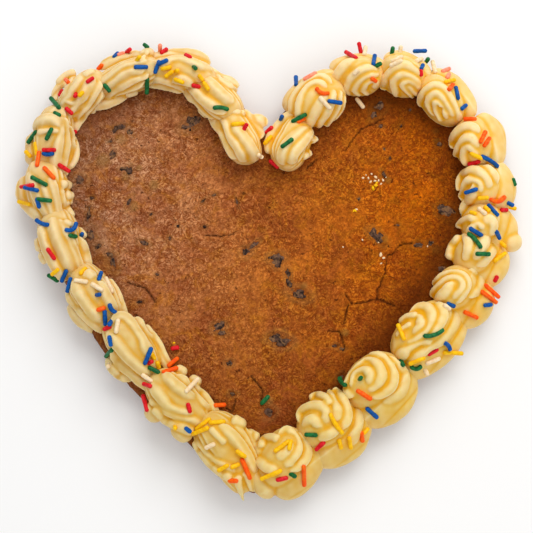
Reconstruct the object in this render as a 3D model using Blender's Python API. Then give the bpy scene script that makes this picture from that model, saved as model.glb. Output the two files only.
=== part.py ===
"""Heart-shaped cookie cake: one thick chocolate chip cookie with a piped cream border and sprinkles."""

import math
import random

import bmesh
import bpy
from mathutils import Matrix, Vector
from mathutils.bvhtree import BVHTree

MM = 0.001

# Cookie: a heart of two round lobes and two bowed sides, in metres
LOBE_RADIUS = 0.0512
LOBE_LEFT = Vector((-0.0500, 0.0393))
LOBE_RIGHT = Vector((0.0465, 0.0390))
TIP = Vector((-0.0060, -0.0950))
SIDE_START_LEFT = math.radians(197)
SIDE_START_RIGHT = math.radians(-19)
CORNER_ROUNDING = 0.012
OUTLINE_SPACING = 0.0015
OUTLINE_POINTS = 68
COOKIE_HEIGHT = 0.0120
EDGE_ROUNDING = 0.0035
FOOT_INSET = 0.0015
FOOT_HEIGHT = 0.0030
TOP_CUTS = 7
TOP_SPACING = 0.0125
CREAM_REACH = 0.024
RELIEF = 0.0006
RELIEF_START = 0.008
# Waves of the top: radians a metre across and along, phase, share
RELIEF_WAVES = (
    (150.0, 60.0, 1.3, 1.0),
    (-70.0, 130.0, 0.4, 0.8),
    (310.0, -260.0, 0.7, 0.5),
)
EDGE_TURNS = (30, 60, 90)

# Cream border: strokes of a star nozzle that lie on the cookie's rim
GAP = 0.0003
CREAM_FLOOR = COOKIE_HEIGHT + GAP
FLOOR_SINK = 0.0008
OVERLAP_TILT = math.radians(38)
TUCK = 0.006
CLEFT_X = -0.0012
TIP_X = -0.0050

# Shells: ridges run along the stroke, with a wide trough on top
RIDGES = 8
SHELL_SIDES = 2 * RIDGES + 3
SHELL_RINGS = 7
SHELL_HEIGHT = 0.0150
SHELL_GROOVE = 0.22
TROUGH_GROOVE = 0.34
TROUGH_WIDENING = 0.25
TROUGH_START = 0.06
TROUGH_RUN = 0.22
SIDE_CROWDING = 0.08
HEAD_REACH = 0.36
HEAD_BLUNTNESS = 5.0
TAIL_BLUNTNESS = 9.0
TAIL_NARROWING = 0.36
TAIL_LOWERING = 0.50
TAPER_POWER = 1.6

# Swirls: a ridged curl with its two ends at the side that opens to the cookie
SWIRL_SIDES = 13
SWIRL_RINGS = 6
SWIRL_HEIGHT = 0.0155
SWIRL_GROOVE = 0.30
SWIRL_RIDGES = 3
SWIRL_OPENING = math.radians(-48)
OPENING_HALF = math.radians(8)
OPENING_FLOOR = 0.38
HEAD_LENGTH = math.radians(45)
TAIL_LENGTH = math.radians(80)
BEND_START = 0.30
BEND_END = 0.40
EYE_ANGLE = math.radians(118)
EYE_HEIGHT = 0.55
TUBE_MIDDLE = 0.36
TAIL_STRETCH = 0.16

# Round trimmings of a stroke: its petal ends and the smooth skirt below a swirl
ROUNDNESS = 0.8
VALLEY_ROUNDNESS = 0.75
BLOB_SHOULDER = 1.12
BLOB_TUCK = 0.4
BLOB_RINGS = 2
SKIRT_SIDES = 11
SKIRT_HEIGHT = 0.0080
SKIRT_LENGTH = 1.12
SKIRT_PLACE = (0.35, 0.55)
SKIRT_WIDTH = (0.60, 0.45)
PETAL_SIDES = 7
PETAL_LENGTH = 0.0055
PETAL_WIDTH = 0.0042
PETAL_HEIGHT = 0.0068
SHELL_PETALS = (208, 160)
SHELL_PETAL_REACH = 0.34
SWIRL_PETALS = (142, 185)
SWIRL_PETAL_REACH = 0.74
LOBE_SIDES = 9
LOBE_HEIGHT = 0.0070

# Sprinkles: rods of coloured sugar
ROD_RADIUS = 0.00085
ROD_LENGTHS = (0.0050, 0.0074)
ROD_SIDES = 5
ROD_MARGIN = 0.0012
ROD_SPACING = 0.0040
ROD_SINK = 0.35
ROD_CIRCLE = (0.40, 0.55)
STEEPEST = 0.35
TRIES = 40
SEED = 15
ABOVE = 0.1

# Chips in the cookie
CHIP_RISE = 0.0010
CHIP_SIDES = 7
CHIP_RINGS = 4

SHARP_ANGLE = math.radians(50)
MERGE = 0.000001

# Shells of the left half, from the cleft down to the tip, then the one right of the cleft:
# name, head x and y, tail x and y, sideways bend and width in mm, number of sprinkles
SHELLS = (
    ("shell_01", -9.3, 51.6, -20.0, 70.6, 0.5, 20.5, 3),
    ("shell_02", -16.9, 69.2, -34.0, 86.0, 0.5, 21.5, 4),
    ("shell_03", -28.0, 83.7, -53.5, 88.1, -1.0, 19.5, 5),
    ("shell_04", -52.0, 87.8, -76.0, 79.0, 0.0, 19.5, 4),
    ("shell_05", -75.6, 81.8, -90.7, 66.0, 0.0, 22.0, 4),
    ("shell_06", -91.5, 66.2, -93.3, 40.0, -0.8, 23.5, 5),
    ("shell_07", -96.3, 42.0, -93.3, 19.0, 0.0, 24.5, 5),
    ("shell_08", -90.0, 20.8, -82.6, -4.0, -1.2, 23.5, 4),
    ("shell_09", -78.3, -3.8, -66.5, -24.9, 0.0, 23.5, 5),
    ("shell_10", -63.6, -24.5, -48.3, -44.3, 0.0, 23.0, 4),
    ("shell_11", -44.8, -48.6, -26.6, -66.2, 0.0, 24.5, 4),
    ("shell_12", -23.8, -66.7, -9.0, -92.5, 2.5, 27.0, 5),
    ("shell_13", 7.2, 49.0, 14.8, 67.0, 0.0, 21.0, 3),
)
LEFT_COUNT = 12

# Swirls of the right half, from the cleft round to the tip: name, middle x and y, half length along
# the border, half width across it, outward reach of the skirt in mm, number of sprinkles
SWIRLS = (
    ("swirl_01", 20.8, 74.0, 12.8, 11.6, 1.5, 4),
    ("swirl_02", 38.5, 85.0, 11.0, 9.4, 2.0, 4),
    ("swirl_03", 57.4, 85.0, 10.4, 9.6, 3.0, 4),
    ("swirl_04", 74.2, 73.9, 12.4, 9.0, 5.5, 4),
    ("swirl_05", 87.3, 55.4, 11.3, 9.0, 7.0, 4),
    ("swirl_06", 90.3, 35.9, 10.0, 9.2, 7.3, 3),
    ("swirl_07", 90.1, 19.9, 9.2, 9.2, 7.8, 4),
    ("swirl_08", 86.5, 6.8, 9.4, 9.6, 7.5, 3),
    ("swirl_09", 78.8, -7.9, 10.8, 9.8, 9.0, 4),
    ("swirl_10", 64.3, -26.2, 16.4, 10.6, 6.6, 5),
    ("swirl_11", 43.4, -46.9, 14.0, 11.6, 8.4, 4),
    ("swirl_12", 23.7, -63.8, 13.4, 11.8, 8.2, 4),
    ("swirl_13", 5.4, -78.3, 13.4, 10.8, 8.6, 4),
)

# Larger lobes of cream on the outer side: stroke, middle x and y, half length and width in mm, turn
LOBES = (
    ("shell_04", -53.6, 95.2, 4.0, 3.3, 60),
    ("shell_11", -47.5, -59.1, 5.0, 4.6, 20),
    ("shell_12", -11.4, -93.0, 5.0, 2.6, -97),
    ("swirl_07", 102.5, 13.0, 5.5, 4.4, -5),
    ("swirl_13", -0.5, -89.5, 7.5, 5.0, -75),
)

# Chips that show in the cookie: middle x and y, length, width in mm and turn in degrees
CHIPS = (
    (-63.6, 61.3, 7.0, 3.2, 5),
    (-33.0, 64.4, 7.5, 5.0, 35),
    (-61.2, 42.4, 4.5, 5.0, 0),
    (-60.5, 29.3, 3.5, 4.5, 60),
    (-53.0, 11.9, 4.0, 3.0, 20),
    (-66.9, 3.3, 4.5, 5.5, 80),
    (-8.3, 9.3, 7.0, 3.0, 40),
    (47.3, 70.2, 5.0, 6.3, 20),
    (45.4, 14.5, 5.5, 4.2, 0),
    (3.2, 5.0, 5.0, 4.2, 10),
    (8.2, -3.5, 3.5, 5.5, 15),
    (12.9, -10.4, 6.5, 4.2, -10),
    (3.5, -29.0, 9.2, 6.0, 8),
    (-21.7, -24.4, 4.6, 4.0, 0),
)

# Sprinkles that fell on the cookie: middle x and y in mm and turn in degrees
COOKIE_RODS = (
    (-38.8, -32.0, 20),
    (-1.5, -54.0, 55),
    (-2.0, 30.0, 130),
)


def plan(x, y):
    """A plan position in metres, from millimetres."""
    return Vector((x, y)) * MM


def make_material(name, colour, roughness):
    """A plain dielectric finish."""
    material = bpy.data.materials.new(name)
    material.use_nodes = True
    shader = material.node_tree.nodes["Principled BSDF"]
    shader.inputs["Base Color"].default_value = (*colour, 1.0)
    shader.inputs["Roughness"].default_value = roughness
    shader.inputs["Metallic"].default_value = 0.0
    return material


def make_object(name, bm, material=None):
    """Turns a bmesh into a scene object."""
    mesh = bpy.data.meshes.new(name)
    bm.to_mesh(mesh)
    bm.free()
    obj = bpy.data.objects.new(name, mesh)
    bpy.context.scene.collection.objects.link(obj)
    if material:
        mesh.materials.append(material)
    return obj


def shade_round(obj):
    """Smooth shading that keeps the hard edges."""
    obj.data.shade_smooth()
    obj.data.set_sharp_from_angle(angle=SHARP_ANGLE)


def top_finder(obj):
    """Gives a function that drops a plan position on the solid and returns the place and its normal."""
    bm = bmesh.new()
    bm.from_mesh(obj.data)
    tree = BVHTree.FromBMesh(bm)
    bm.free()
    down = Vector((0.0, 0.0, -1.0))

    def drop(spot):
        place, normal, _, _ = tree.ray_cast(Vector((spot.x, spot.y, ABOVE)), down)
        return place, normal
    return drop


def join_solids(base, others):
    """One Boolean union of the base with a collection of solids, applied, with the collection emptied."""
    group = bpy.data.collections.new("to_join")
    bpy.context.scene.collection.children.link(group)
    for other in others:
        bpy.context.scene.collection.objects.unlink(other)
        group.objects.link(other)
    union = base.modifiers.new("union", "BOOLEAN")
    union.operation = "UNION"
    union.operand_type = "COLLECTION"
    union.collection = group
    union.solver = "EXACT"
    graph = bpy.context.evaluated_depsgraph_get()
    joined = bpy.data.meshes.new_from_object(base.evaluated_get(graph))
    base.modifiers.remove(union)
    old = base.data
    base.data = joined
    bpy.data.meshes.remove(old)
    for other in others:
        bpy.data.objects.remove(other)
    bpy.data.collections.remove(group)


def largest_body(bm):
    """Drops loose scraps and keeps the body with the most faces."""
    left = set(bm.faces)
    bodies = []
    while left:
        first = left.pop()
        body = {first}
        border = [first]
        while border:
            face = border.pop()
            for line in face.edges:
                fresh = [near for near in line.link_faces if near in left]
                left.difference_update(fresh)
                body.update(fresh)
                border.extend(fresh)
        bodies.append(body)
    keep = max(bodies, key=len)
    scraps = [face for face in bm.faces if face not in keep]
    bmesh.ops.delete(bm, geom=scraps, context="FACES")
    bmesh.ops.delete(bm, geom=[v for v in bm.verts if not v.link_faces], context="VERTS")


def trim(obj, planes):
    """Cuts a solid along planes, each a point and the direction that is kept, and closes it."""
    bm = bmesh.new()
    bm.from_mesh(obj.data)
    bmesh.ops.remove_doubles(bm, verts=bm.verts, dist=MERGE)
    for point, keep in planes:
        geometry = list(bm.verts) + list(bm.edges) + list(bm.faces)
        bmesh.ops.bisect_plane(
            bm,
            geom=geometry,
            dist=10.0 * MERGE,
            plane_co=point,
            plane_no=keep,
            clear_inner=True,
        )
        rim = [edge for edge in bm.edges if edge.is_boundary]
        if rim:
            bmesh.ops.holes_fill(bm, edges=rim, sides=0)
    largest_body(bm)
    bmesh.ops.recalc_face_normals(bm, faces=bm.faces)
    bm.to_mesh(obj.data)
    bm.free()


def side_arc(lobe, start, steps):
    """The bowed side: an arc that leaves the lobe smoothly at the start angle and ends at the tip."""
    outward = Vector((math.cos(start), math.sin(start)))
    first = lobe + outward * LOBE_RADIUS
    chord = TIP - first
    radius = -chord.length_squared / (2.0 * chord.dot(outward))
    middle = first - outward * radius
    begin = math.atan2(first.y - middle.y, first.x - middle.x)
    sweep = math.atan2(TIP.y - middle.y, TIP.x - middle.x) - begin
    sweep = (sweep + math.pi) % (2.0 * math.pi) - math.pi
    angles = [begin + sweep * step / steps for step in range(steps)]
    return [middle + Vector((math.cos(a), math.sin(a))) * radius for a in angles]


def lobe_arc(lobe, first, last, steps):
    """Points along a lobe's circle."""
    angles = [first + (last - first) * step / steps for step in range(steps)]
    return [lobe + Vector((math.cos(a), math.sin(a))) * LOBE_RADIUS for a in angles]


def resample(points, count):
    """The same closed line with its points evenly spaced."""
    closed = points + [points[0]]
    reach = [0.0]
    for a, b in zip(closed, closed[1:]):
        reach.append(reach[-1] + (b - a).length)
    result = []
    place = 0
    for step in range(count):
        goal = reach[-1] * step / count
        while reach[place + 1] < goal:
            place += 1
        share = (goal - reach[place]) / (reach[place + 1] - reach[place])
        result.append(closed[place].lerp(closed[place + 1], share))
    return result


def rounded(points, rounds):
    """Softens the corners of a closed line by averaging neighbours."""
    count = len(points)
    for _ in range(rounds):
        points = [
            points[i] * 0.5 + (points[i - 1] + points[(i + 1) % count]) * 0.25 for i in range(count)
        ]
    return points


def heart_outline(count):
    """The cookie's outer edge, counter-clockwise from the cleft."""
    half_gap = (LOBE_RIGHT.x - LOBE_LEFT.x) / 2.0
    cleft_angle = math.acos(half_gap / LOBE_RADIUS)
    steps = 2 * count
    line = lobe_arc(LOBE_LEFT, cleft_angle, SIDE_START_LEFT, steps)
    line += side_arc(LOBE_LEFT, SIDE_START_LEFT, steps)
    line += list(reversed(side_arc(LOBE_RIGHT, SIDE_START_RIGHT, steps)))
    line += lobe_arc(LOBE_RIGHT, SIDE_START_RIGHT, math.pi - cleft_angle, steps)
    total = sum((b - a).length for a, b in zip(line, line[1:]))
    line = resample(line, round(total / OUTLINE_SPACING))
    line = rounded(line, 2 * round(CORNER_ROUNDING / OUTLINE_SPACING))
    return resample(line, count)


def cookie_relief(x, y, depth):
    """Soft unevenness of the baked top, kept flat below the cream."""
    share = min(1.0, max(0.0, (depth - CREAM_REACH) / RELIEF_START))
    waves = [size * math.sin(x * across + y * along + phase) for across, along, phase, size in RELIEF_WAVES]
    return RELIEF * share * sum(waves)


def dice_top(bm):
    """Cuts the flat top into squares, so that it can take an uneven height."""
    level = COOKIE_HEIGHT - MERGE
    for direction in (Vector((1.0, 0.0, 0.0)), Vector((0.0, 1.0, 0.0))):
        for step in range(-TOP_CUTS, TOP_CUTS + 1):
            top = [face for face in bm.faces if all(v.co.z > level for v in face.verts)]
            edges = {edge for face in top for edge in face.edges}
            corners = {vertex for face in top for vertex in face.verts}
            bmesh.ops.bisect_plane(
                bm,
                geom=top + list(edges) + list(corners),
                dist=MERGE,
                plane_co=direction * step * TOP_SPACING,
                plane_no=direction,
            )


def make_cookie_body():
    """The slab: flat foot, slightly flared side, round top edge, uneven top."""
    outline = heart_outline(OUTLINE_POINTS)
    count = len(outline)
    sides = []
    for i in range(count):
        along = (outline[(i + 1) % count] - outline[i - 1]).normalized()
        sides.append(Vector((along.y, -along.x)))
    shoulder = COOKIE_HEIGHT - EDGE_ROUNDING
    levels = [(FOOT_INSET, 0.0), (GAP, FOOT_HEIGHT), (0.0, shoulder)]
    for turn in map(math.radians, EDGE_TURNS):
        levels.append((EDGE_ROUNDING * (1.0 - math.cos(turn)), shoulder + EDGE_ROUNDING * math.sin(turn)))
    bm = bmesh.new()
    rings = []
    for inset, height in levels:
        rings.append([bm.verts.new((*(p - s * inset), height)) for p, s in zip(outline, sides)])
    for low, high in zip(rings, rings[1:]):
        for i in range(count):
            j = (i + 1) % count
            bm.faces.new((low[i], low[j], high[j], high[i]))
    bm.faces.new(list(reversed(rings[0])))
    bm.faces.new(rings[-1])
    dice_top(bm)
    for vertex in bm.verts:
        if vertex.co.z > COOKIE_HEIGHT - MERGE:
            depth = min((vertex.co.xy - p).length for p in outline)
            vertex.co.z += cookie_relief(vertex.co.x, vertex.co.y, depth)
    bmesh.ops.recalc_face_normals(bm, faces=bm.faces)
    return bm


def make_chip(top, length, width, turned):
    """A chip that lies flush in the cookie's top."""
    bm = bmesh.new()
    size = Matrix.Diagonal((length / 2.0, width / 2.0, CHIP_RISE * 2.0, 1.0))
    place = Matrix.Translation(top - Vector((0.0, 0.0, CHIP_RISE)))
    bmesh.ops.create_uvsphere(
        bm,
        u_segments=CHIP_SIDES,
        v_segments=CHIP_RINGS,
        radius=1.0,
        matrix=place @ Matrix.Rotation(turned, 4, "Z") @ size,
    )
    return bm


def make_rod(location, direction, length):
    """One sprinkle: a short rod along the direction."""
    bm = bmesh.new()
    turned = direction.to_track_quat("Z", "Y").to_matrix().to_4x4()
    bmesh.ops.create_cone(
        bm,
        cap_ends=True,
        segments=ROD_SIDES,
        radius1=ROD_RADIUS,
        radius2=ROD_RADIUS,
        depth=length,
        matrix=Matrix.Translation(location) @ turned,
    )
    return bm


def make_cookie(material):
    """The cookie with the chips and sprinkles that lie in its top."""
    cookie = make_object("cookie", make_cookie_body(), material)
    drop = top_finder(cookie)
    extras = []
    for x, y, length, width, turned in CHIPS:
        top, _ = drop(plan(x, y))
        chip = make_chip(top, length * MM, width * MM, math.radians(turned))
        extras.append(make_object("chip", chip))
    for x, y, turned in COOKIE_RODS:
        top, _ = drop(plan(x, y))
        turn = math.radians(turned)
        lift = Vector((0.0, 0.0, ROD_RADIUS * ROD_SINK))
        rod = make_rod(top + lift, Vector((math.cos(turn), math.sin(turn), 0.0)), ROD_LENGTHS[0])
        extras.append(make_object("rod", rod))
    join_solids(cookie, extras)
    trim(cookie, [])
    shade_round(cookie)
    return cookie


def dome(sides, rings, place):
    """A closed dome. place(turn, fall) sets each vertex, fall going from 0 at the top to 1 at the floor."""
    bm = bmesh.new()
    bmesh.ops.create_uvsphere(bm, u_segments=sides, v_segments=2 * rings, radius=1.0)
    below = [v for v in bm.verts if v.co.z < -MM]
    bmesh.ops.delete(bm, geom=below, context="VERTS")
    for vertex in bm.verts:
        fall = math.acos(max(-1.0, min(1.0, vertex.co.z))) / (math.pi / 2.0)
        turn = math.atan2(vertex.co.y, vertex.co.x)
        vertex.co = place(turn, fall)
    open_edges = [edge for edge in bm.edges if edge.is_boundary]
    bmesh.ops.holes_fill(bm, edges=open_edges, sides=0)
    bmesh.ops.recalc_face_normals(bm, faces=bm.faces)
    return bm


def make_blob(sides, middle, half_length, half_width, height, turned):
    """A smooth rounded mound on the cream's floor."""
    def place(turn, fall):
        out = math.sin(min(1.0, fall * BLOB_SHOULDER) * math.pi / 2.0)
        out -= BLOB_TUCK * max(0.0, fall - ROUNDNESS)
        local = Vector((half_length * out * math.cos(turn), half_width * out * math.sin(turn)))
        spot = Matrix.Rotation(turned, 2) @ local + middle
        up = (height + FLOOR_SINK) * math.cos(fall * math.pi / 2.0) - FLOOR_SINK
        return Vector((spot.x, spot.y, CREAM_FLOOR + up))
    return dome(sides, BLOB_RINGS, place)


def groove(phase, roundness):
    """Depth between nozzle ridges: valleys at whole turns of the phase, round ridges between."""
    return 1.0 - abs(math.sin(phase / 2.0)) ** roundness


def shell_section(share, along, half, high):
    """A point of the star section, with the share going over the ridges from one foot to the other."""
    angle = math.pi * share + SIDE_CROWDING * math.sin(4.0 * math.pi * share)
    angle -= TROUGH_WIDENING * math.sin(2.0 * math.pi * share)
    trough = math.sin(math.pi * share) ** 6 * min(1.0, max(0.0, (along - TROUGH_START) / TROUGH_RUN))
    depth = SHELL_GROOVE + (TROUGH_GROOVE - SHELL_GROOVE) * trough
    valley = groove(2.0 * math.pi * RIDGES * share, VALLEY_ROUNDNESS * (1.0 + trough))
    foot = min(1.0, min(share, 1.0 - share) * RIDGES * 2.0)
    scale = 1.0 - depth * valley * foot
    return half * math.cos(angle) * scale, high * max(0.0, math.sin(angle)) ** ROUNDNESS * scale


def make_shell(head, tail, bend, width, sides=SHELL_SIDES, rings=SHELL_RINGS):
    """A ridged shell: round head, high shoulder, ridges that run along it and close at the tail."""
    heading = (tail - head).normalized()
    across = Vector((-heading.y, heading.x))
    front = head - heading * width * HEAD_REACH
    elbow = (front + tail) / 2.0 + across * bend * 2.0
    upper_share = 2.0 * RIDGES / SHELL_SIDES
    bm = bmesh.new()
    bmesh.ops.create_uvsphere(bm, u_segments=sides, v_segments=rings, radius=1.0)
    for vertex in bm.verts:
        along = math.acos(max(-1.0, min(1.0, -vertex.co.z))) / math.pi
        around = (math.atan2(vertex.co.y, vertex.co.x) / (2.0 * math.pi)) % 1.0
        spread = math.sqrt(1.0 - (1.0 - along) ** HEAD_BLUNTNESS) * math.sqrt(1.0 - along ** TAIL_BLUNTNESS)
        half = width / 2.0 * spread * (1.0 - TAIL_NARROWING * along ** TAPER_POWER)
        high = SHELL_HEIGHT * spread * (1.0 - TAIL_LOWERING * along ** TAPER_POWER)
        spine = front.lerp(elbow, along).lerp(elbow.lerp(tail, along), along)
        if around <= upper_share + MERGE:
            aside, up = shell_section(around / upper_share, along, half, high)
        else:
            aside = half * (2.0 * (around - upper_share) / (1.0 - upper_share) - 1.0)
            up = -FLOOR_SINK
        spot = spine + across * aside
        vertex.co = (spot.x, spot.y, CREAM_FLOOR + up)
    bmesh.ops.recalc_face_normals(bm, faces=bm.faces)
    return bm


def tube_end(turn):
    """How full the swirl's tube is: whole round the bend, closing to its two round ends at the opening."""
    near = min(turn, 2.0 * math.pi - turn)
    length = TAIL_LENGTH if turn < math.pi else HEAD_LENGTH
    share = min(1.0, max(0.0, near - OPENING_HALF) / length)
    return OPENING_FLOOR + (1.0 - OPENING_FLOOR) * math.sqrt(1.0 - (1.0 - share) ** 2)


def make_swirl(middle, heading, long_half, wide_half, sides=SWIRL_SIDES, rings=SWIRL_RINGS):
    """A ridged curl: a star tube bent round its middle, with its two ends at the side open to the cookie."""
    turned = Matrix.Rotation(math.atan2(heading.y, heading.x), 2)

    def place(turn, fall):
        turn = turn % (2.0 * math.pi)
        direction = turn + SWIRL_OPENING
        tilt = EYE_ANGLE * (1.0 - fall)
        valley = groove(2.0 * math.pi * SWIRL_RIDGES * fall, VALLEY_ROUNDNESS)
        scale = tube_end(turn) * (1.0 - SWIRL_GROOVE * valley * min(1.0, (1.0 - fall) * 4.0))
        bend = BEND_START + (BEND_END - BEND_START) * (1.0 - turn / (2.0 * math.pi))
        out = bend + (1.0 - TUBE_MIDDLE) * scale * math.cos(tilt)
        high = scale * math.sin(tilt) ** ROUNDNESS
        if fall < MM:
            out = 0.0
            high = EYE_HEIGHT
        stretch = 1.0 + TAIL_STRETCH * max(0.0, math.cos(direction))
        local = Vector((long_half * stretch * math.cos(direction), wide_half * math.sin(direction))) * out
        spot = turned @ local + middle
        up = (SWIRL_HEIGHT + FLOOR_SINK) * high - FLOOR_SINK
        return Vector((spot.x, spot.y, CREAM_FLOOR + up))
    return dome(sides, rings, place)


def clear_of(point, planes, margin):
    """True where a position keeps the margin to every plane."""
    return all((point - spot).dot(keep) > margin for spot, keep in planes)


def scatter_rods(obj, row, count, planes, chance):
    """Sprinkles laid on the cream where seeded drops meet it, clear of each other and the neighbours."""
    drop = top_finder(obj)
    places = []
    rods = []
    for _ in range(count * TRIES):
        turn = chance.uniform(0.0, 2.0 * math.pi)
        far = row["reach"] * math.sqrt(chance.random())
        length = chance.uniform(*ROD_LENGTHS)
        spin = chance.uniform(0.0, math.pi)
        hit, normal = drop(row["middle"] + Vector((math.cos(turn), math.sin(turn))) * far)
        if hit is None or normal.z < STEEPEST:
            continue
        flat = Vector((math.cos(spin), math.sin(spin), 0.0))
        direction = (flat - normal * flat.dot(normal)).normalized()
        ends = [hit + direction * length / 2.0 * way for way in (-1.0, 1.0)]
        low = min(end.z for end in ends) < CREAM_FLOOR + ROD_RADIUS * 2.0
        near = any((hit - other).length < ROD_SPACING for other in places)
        if low or near or not all(clear_of(end, planes, ROD_MARGIN) for end in ends):
            continue
        places.append(hit)
        rod = make_rod(hit + normal * ROD_RADIUS * ROD_SINK, direction, length)
        rods.append(make_object("rod", rod))
        if len(rods) == count:
            break
    return rods


def is_closed(obj):
    """True where every edge of the solid lies between two faces."""
    bm = bmesh.new()
    bm.from_mesh(obj.data)
    closed = all(edge.is_manifold for edge in bm.edges)
    bm.free()
    return closed


def sprinkle(obj, row, planes, chance):
    """Joins the sprinkles to a stroke, with fewer of them where the union fails."""
    bare = obj.data.copy()
    for fewer in (0, 0, 1, 2):
        join_solids(obj, scatter_rods(obj, row, row["rods"] - fewer, planes, chance))
        trim(obj, [])
        if is_closed(obj):
            break
        failed = obj.data
        obj.data = bare.copy()
        bpy.data.meshes.remove(failed)
    bpy.data.meshes.remove(bare)


def shell_rows():
    """The shells' sizes in metres."""
    rows = []
    for name, head_x, head_y, tail_x, tail_y, bend, width, rods in SHELLS:
        head = plan(head_x, head_y)
        tail = plan(tail_x, tail_y)
        heading = (tail - head).normalized()
        side = -1.0 if len(rows) < LEFT_COUNT else 1.0
        rows.append({
            "name": name,
            "head": head,
            "tail": tail,
            "bend": bend * MM,
            "width": width * MM,
            "heading": heading,
            "outward": Vector((-heading.y, heading.x)) * side,
            "front": head - heading * width * MM * HEAD_REACH,
            "middle": head.lerp(tail, ROD_CIRCLE[0]),
            "reach": (tail - head).length * ROD_CIRCLE[1],
            "petals": SHELL_PETALS,
            "petal_middle": head,
            "petal_reach": width * MM * SHELL_PETAL_REACH,
            "rods": rods,
        })
    return rows


def swirl_rows():
    """The swirls' sizes in metres."""
    middles = [plan(row[1], row[2]) for row in SWIRLS] + [Vector((TIP_X, TIP.y))]
    rows = []
    for row, middle, ahead in zip(SWIRLS, middles, middles[1:]):
        name, _, _, long_half, wide_half, skirt, rods = row
        heading = (ahead - middle).normalized()
        rows.append({
            "name": name,
            "long_half": long_half * MM,
            "wide_half": wide_half * MM,
            "skirt": skirt * MM,
            "heading": heading,
            "outward": Vector((-heading.y, heading.x)),
            "front": middle - heading * long_half * MM,
            "middle": middle,
            "reach": max(long_half, wide_half) * MM,
            "petals": SWIRL_PETALS,
            "petal_middle": middle,
            "petal_reach": wide_half * MM * SWIRL_PETAL_REACH,
            "rods": rods,
        })
    return rows


def gap_plane(point, normal):
    """A cut that keeps what lies ahead of the point, with half the gap left clear."""
    return Vector((point.x, point.y, CREAM_FLOOR)) + normal * GAP / 2.0, normal


def chain_planes(rows, way):
    """The cuts of each stroke: the floor, the slant under its own front and the slant of the next front."""
    floor = (Vector((0.0, 0.0, CREAM_FLOOR)), Vector((0.0, 0.0, 1.0)))
    cuts = [(Vector((CLEFT_X, 0.0)), way)]
    for row in rows[1:]:
        lean = row["heading"].to_3d() * math.cos(OVERLAP_TILT) + Vector((0.0, 0.0, math.sin(OVERLAP_TILT)))
        cuts.append((row["front"] + row["heading"] * TUCK, lean))
    cuts.append((Vector((TIP_X, 0.0)), -way))
    result = []
    for k, row in enumerate(rows):
        far_point, far_normal = cuts[k + 1]
        planes = [floor, gap_plane(*cuts[k]), gap_plane(far_point, -far_normal)]
        result.append((row, planes))
    return result


def skirt_of(row):
    """The smooth low mound that a swirl pushes outwards below it."""
    out = row["wide_half"] * SKIRT_PLACE[0] + row["skirt"] * SKIRT_PLACE[1]
    half_width = row["wide_half"] * SKIRT_WIDTH[0] + row["skirt"] * SKIRT_WIDTH[1]
    half_length = row["long_half"] * SKIRT_LENGTH
    turned = math.atan2(row["heading"].y, row["heading"].x)
    spot = row["middle"] + row["outward"] * out
    return make_blob(SKIRT_SIDES, spot, half_length, half_width, SKIRT_HEIGHT, turned)


def petals_of(row):
    """The round ends of the ridges where a stroke begins."""
    start = math.atan2(row["outward"].y, row["outward"].x)
    for angle in row["petals"]:
        spin = start + math.radians(angle)
        spot = row["petal_middle"] + Vector((math.cos(spin), math.sin(spin))) * row["petal_reach"]
        yield make_blob(PETAL_SIDES, spot, PETAL_LENGTH, PETAL_WIDTH, PETAL_HEIGHT, spin)


def make_stroke(row, planes, material, chance):
    """One stroke with its petals, skirt, lobes and sprinkles as one solid."""
    if "head" in row:
        body = make_shell(row["head"], row["tail"], row["bend"], row["width"])
        extras = []
    else:
        body = make_swirl(row["middle"], row["heading"], row["long_half"], row["wide_half"])
        extras = [skirt_of(row)]
    base = make_object(row["name"], body, material)
    extras += petals_of(row)
    for name, x, y, half_length, half_width, turned in LOBES:
        if name == row["name"]:
            size = (half_length * MM, half_width * MM, LOBE_HEIGHT)
            extras.append(make_blob(LOBE_SIDES, plan(x, y), *size, math.radians(turned)))
    join_solids(base, [make_object("extra", bm) for bm in extras])
    trim(base, planes)
    sprinkle(base, row, planes, chance)
    shade_round(base)
    return base


for old_object in list(bpy.data.objects):
    bpy.data.objects.remove(old_object)

baked = make_material("baked_cookie", (0.30, 0.12, 0.04), 0.75)
cream = make_material("cream", (0.88, 0.70, 0.35), 0.45)
make_cookie(baked)
shells = shell_rows()
left = shells[:LEFT_COUNT]
right = shells[LEFT_COUNT:] + swirl_rows()
plus_x = Vector((1.0, 0.0, 0.0))
draws = random.Random(SEED)
for stroke, cuts_of_stroke in chain_planes(left, -plus_x) + chain_planes(right, plus_x):
    make_stroke(stroke, cuts_of_stroke, cream, draws)
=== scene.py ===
# %% [markdown]
# # A heart-shaped cookie cake
# The cake is one thick baked cookie with a border of piped buttercream and coloured sugar sprinkles. The
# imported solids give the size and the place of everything. This lesson dresses them: each stroke of cream
# gets its ridges, the cookie gets its crumb, cracks and chips, and every sprinkle gets its own place.

# %% Load the frame
import math

import bmesh
import bpy
import numpy as np
from mathutils import Euler, Matrix, Vector, noise
from mathutils.bvhtree import BVHTree


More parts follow.
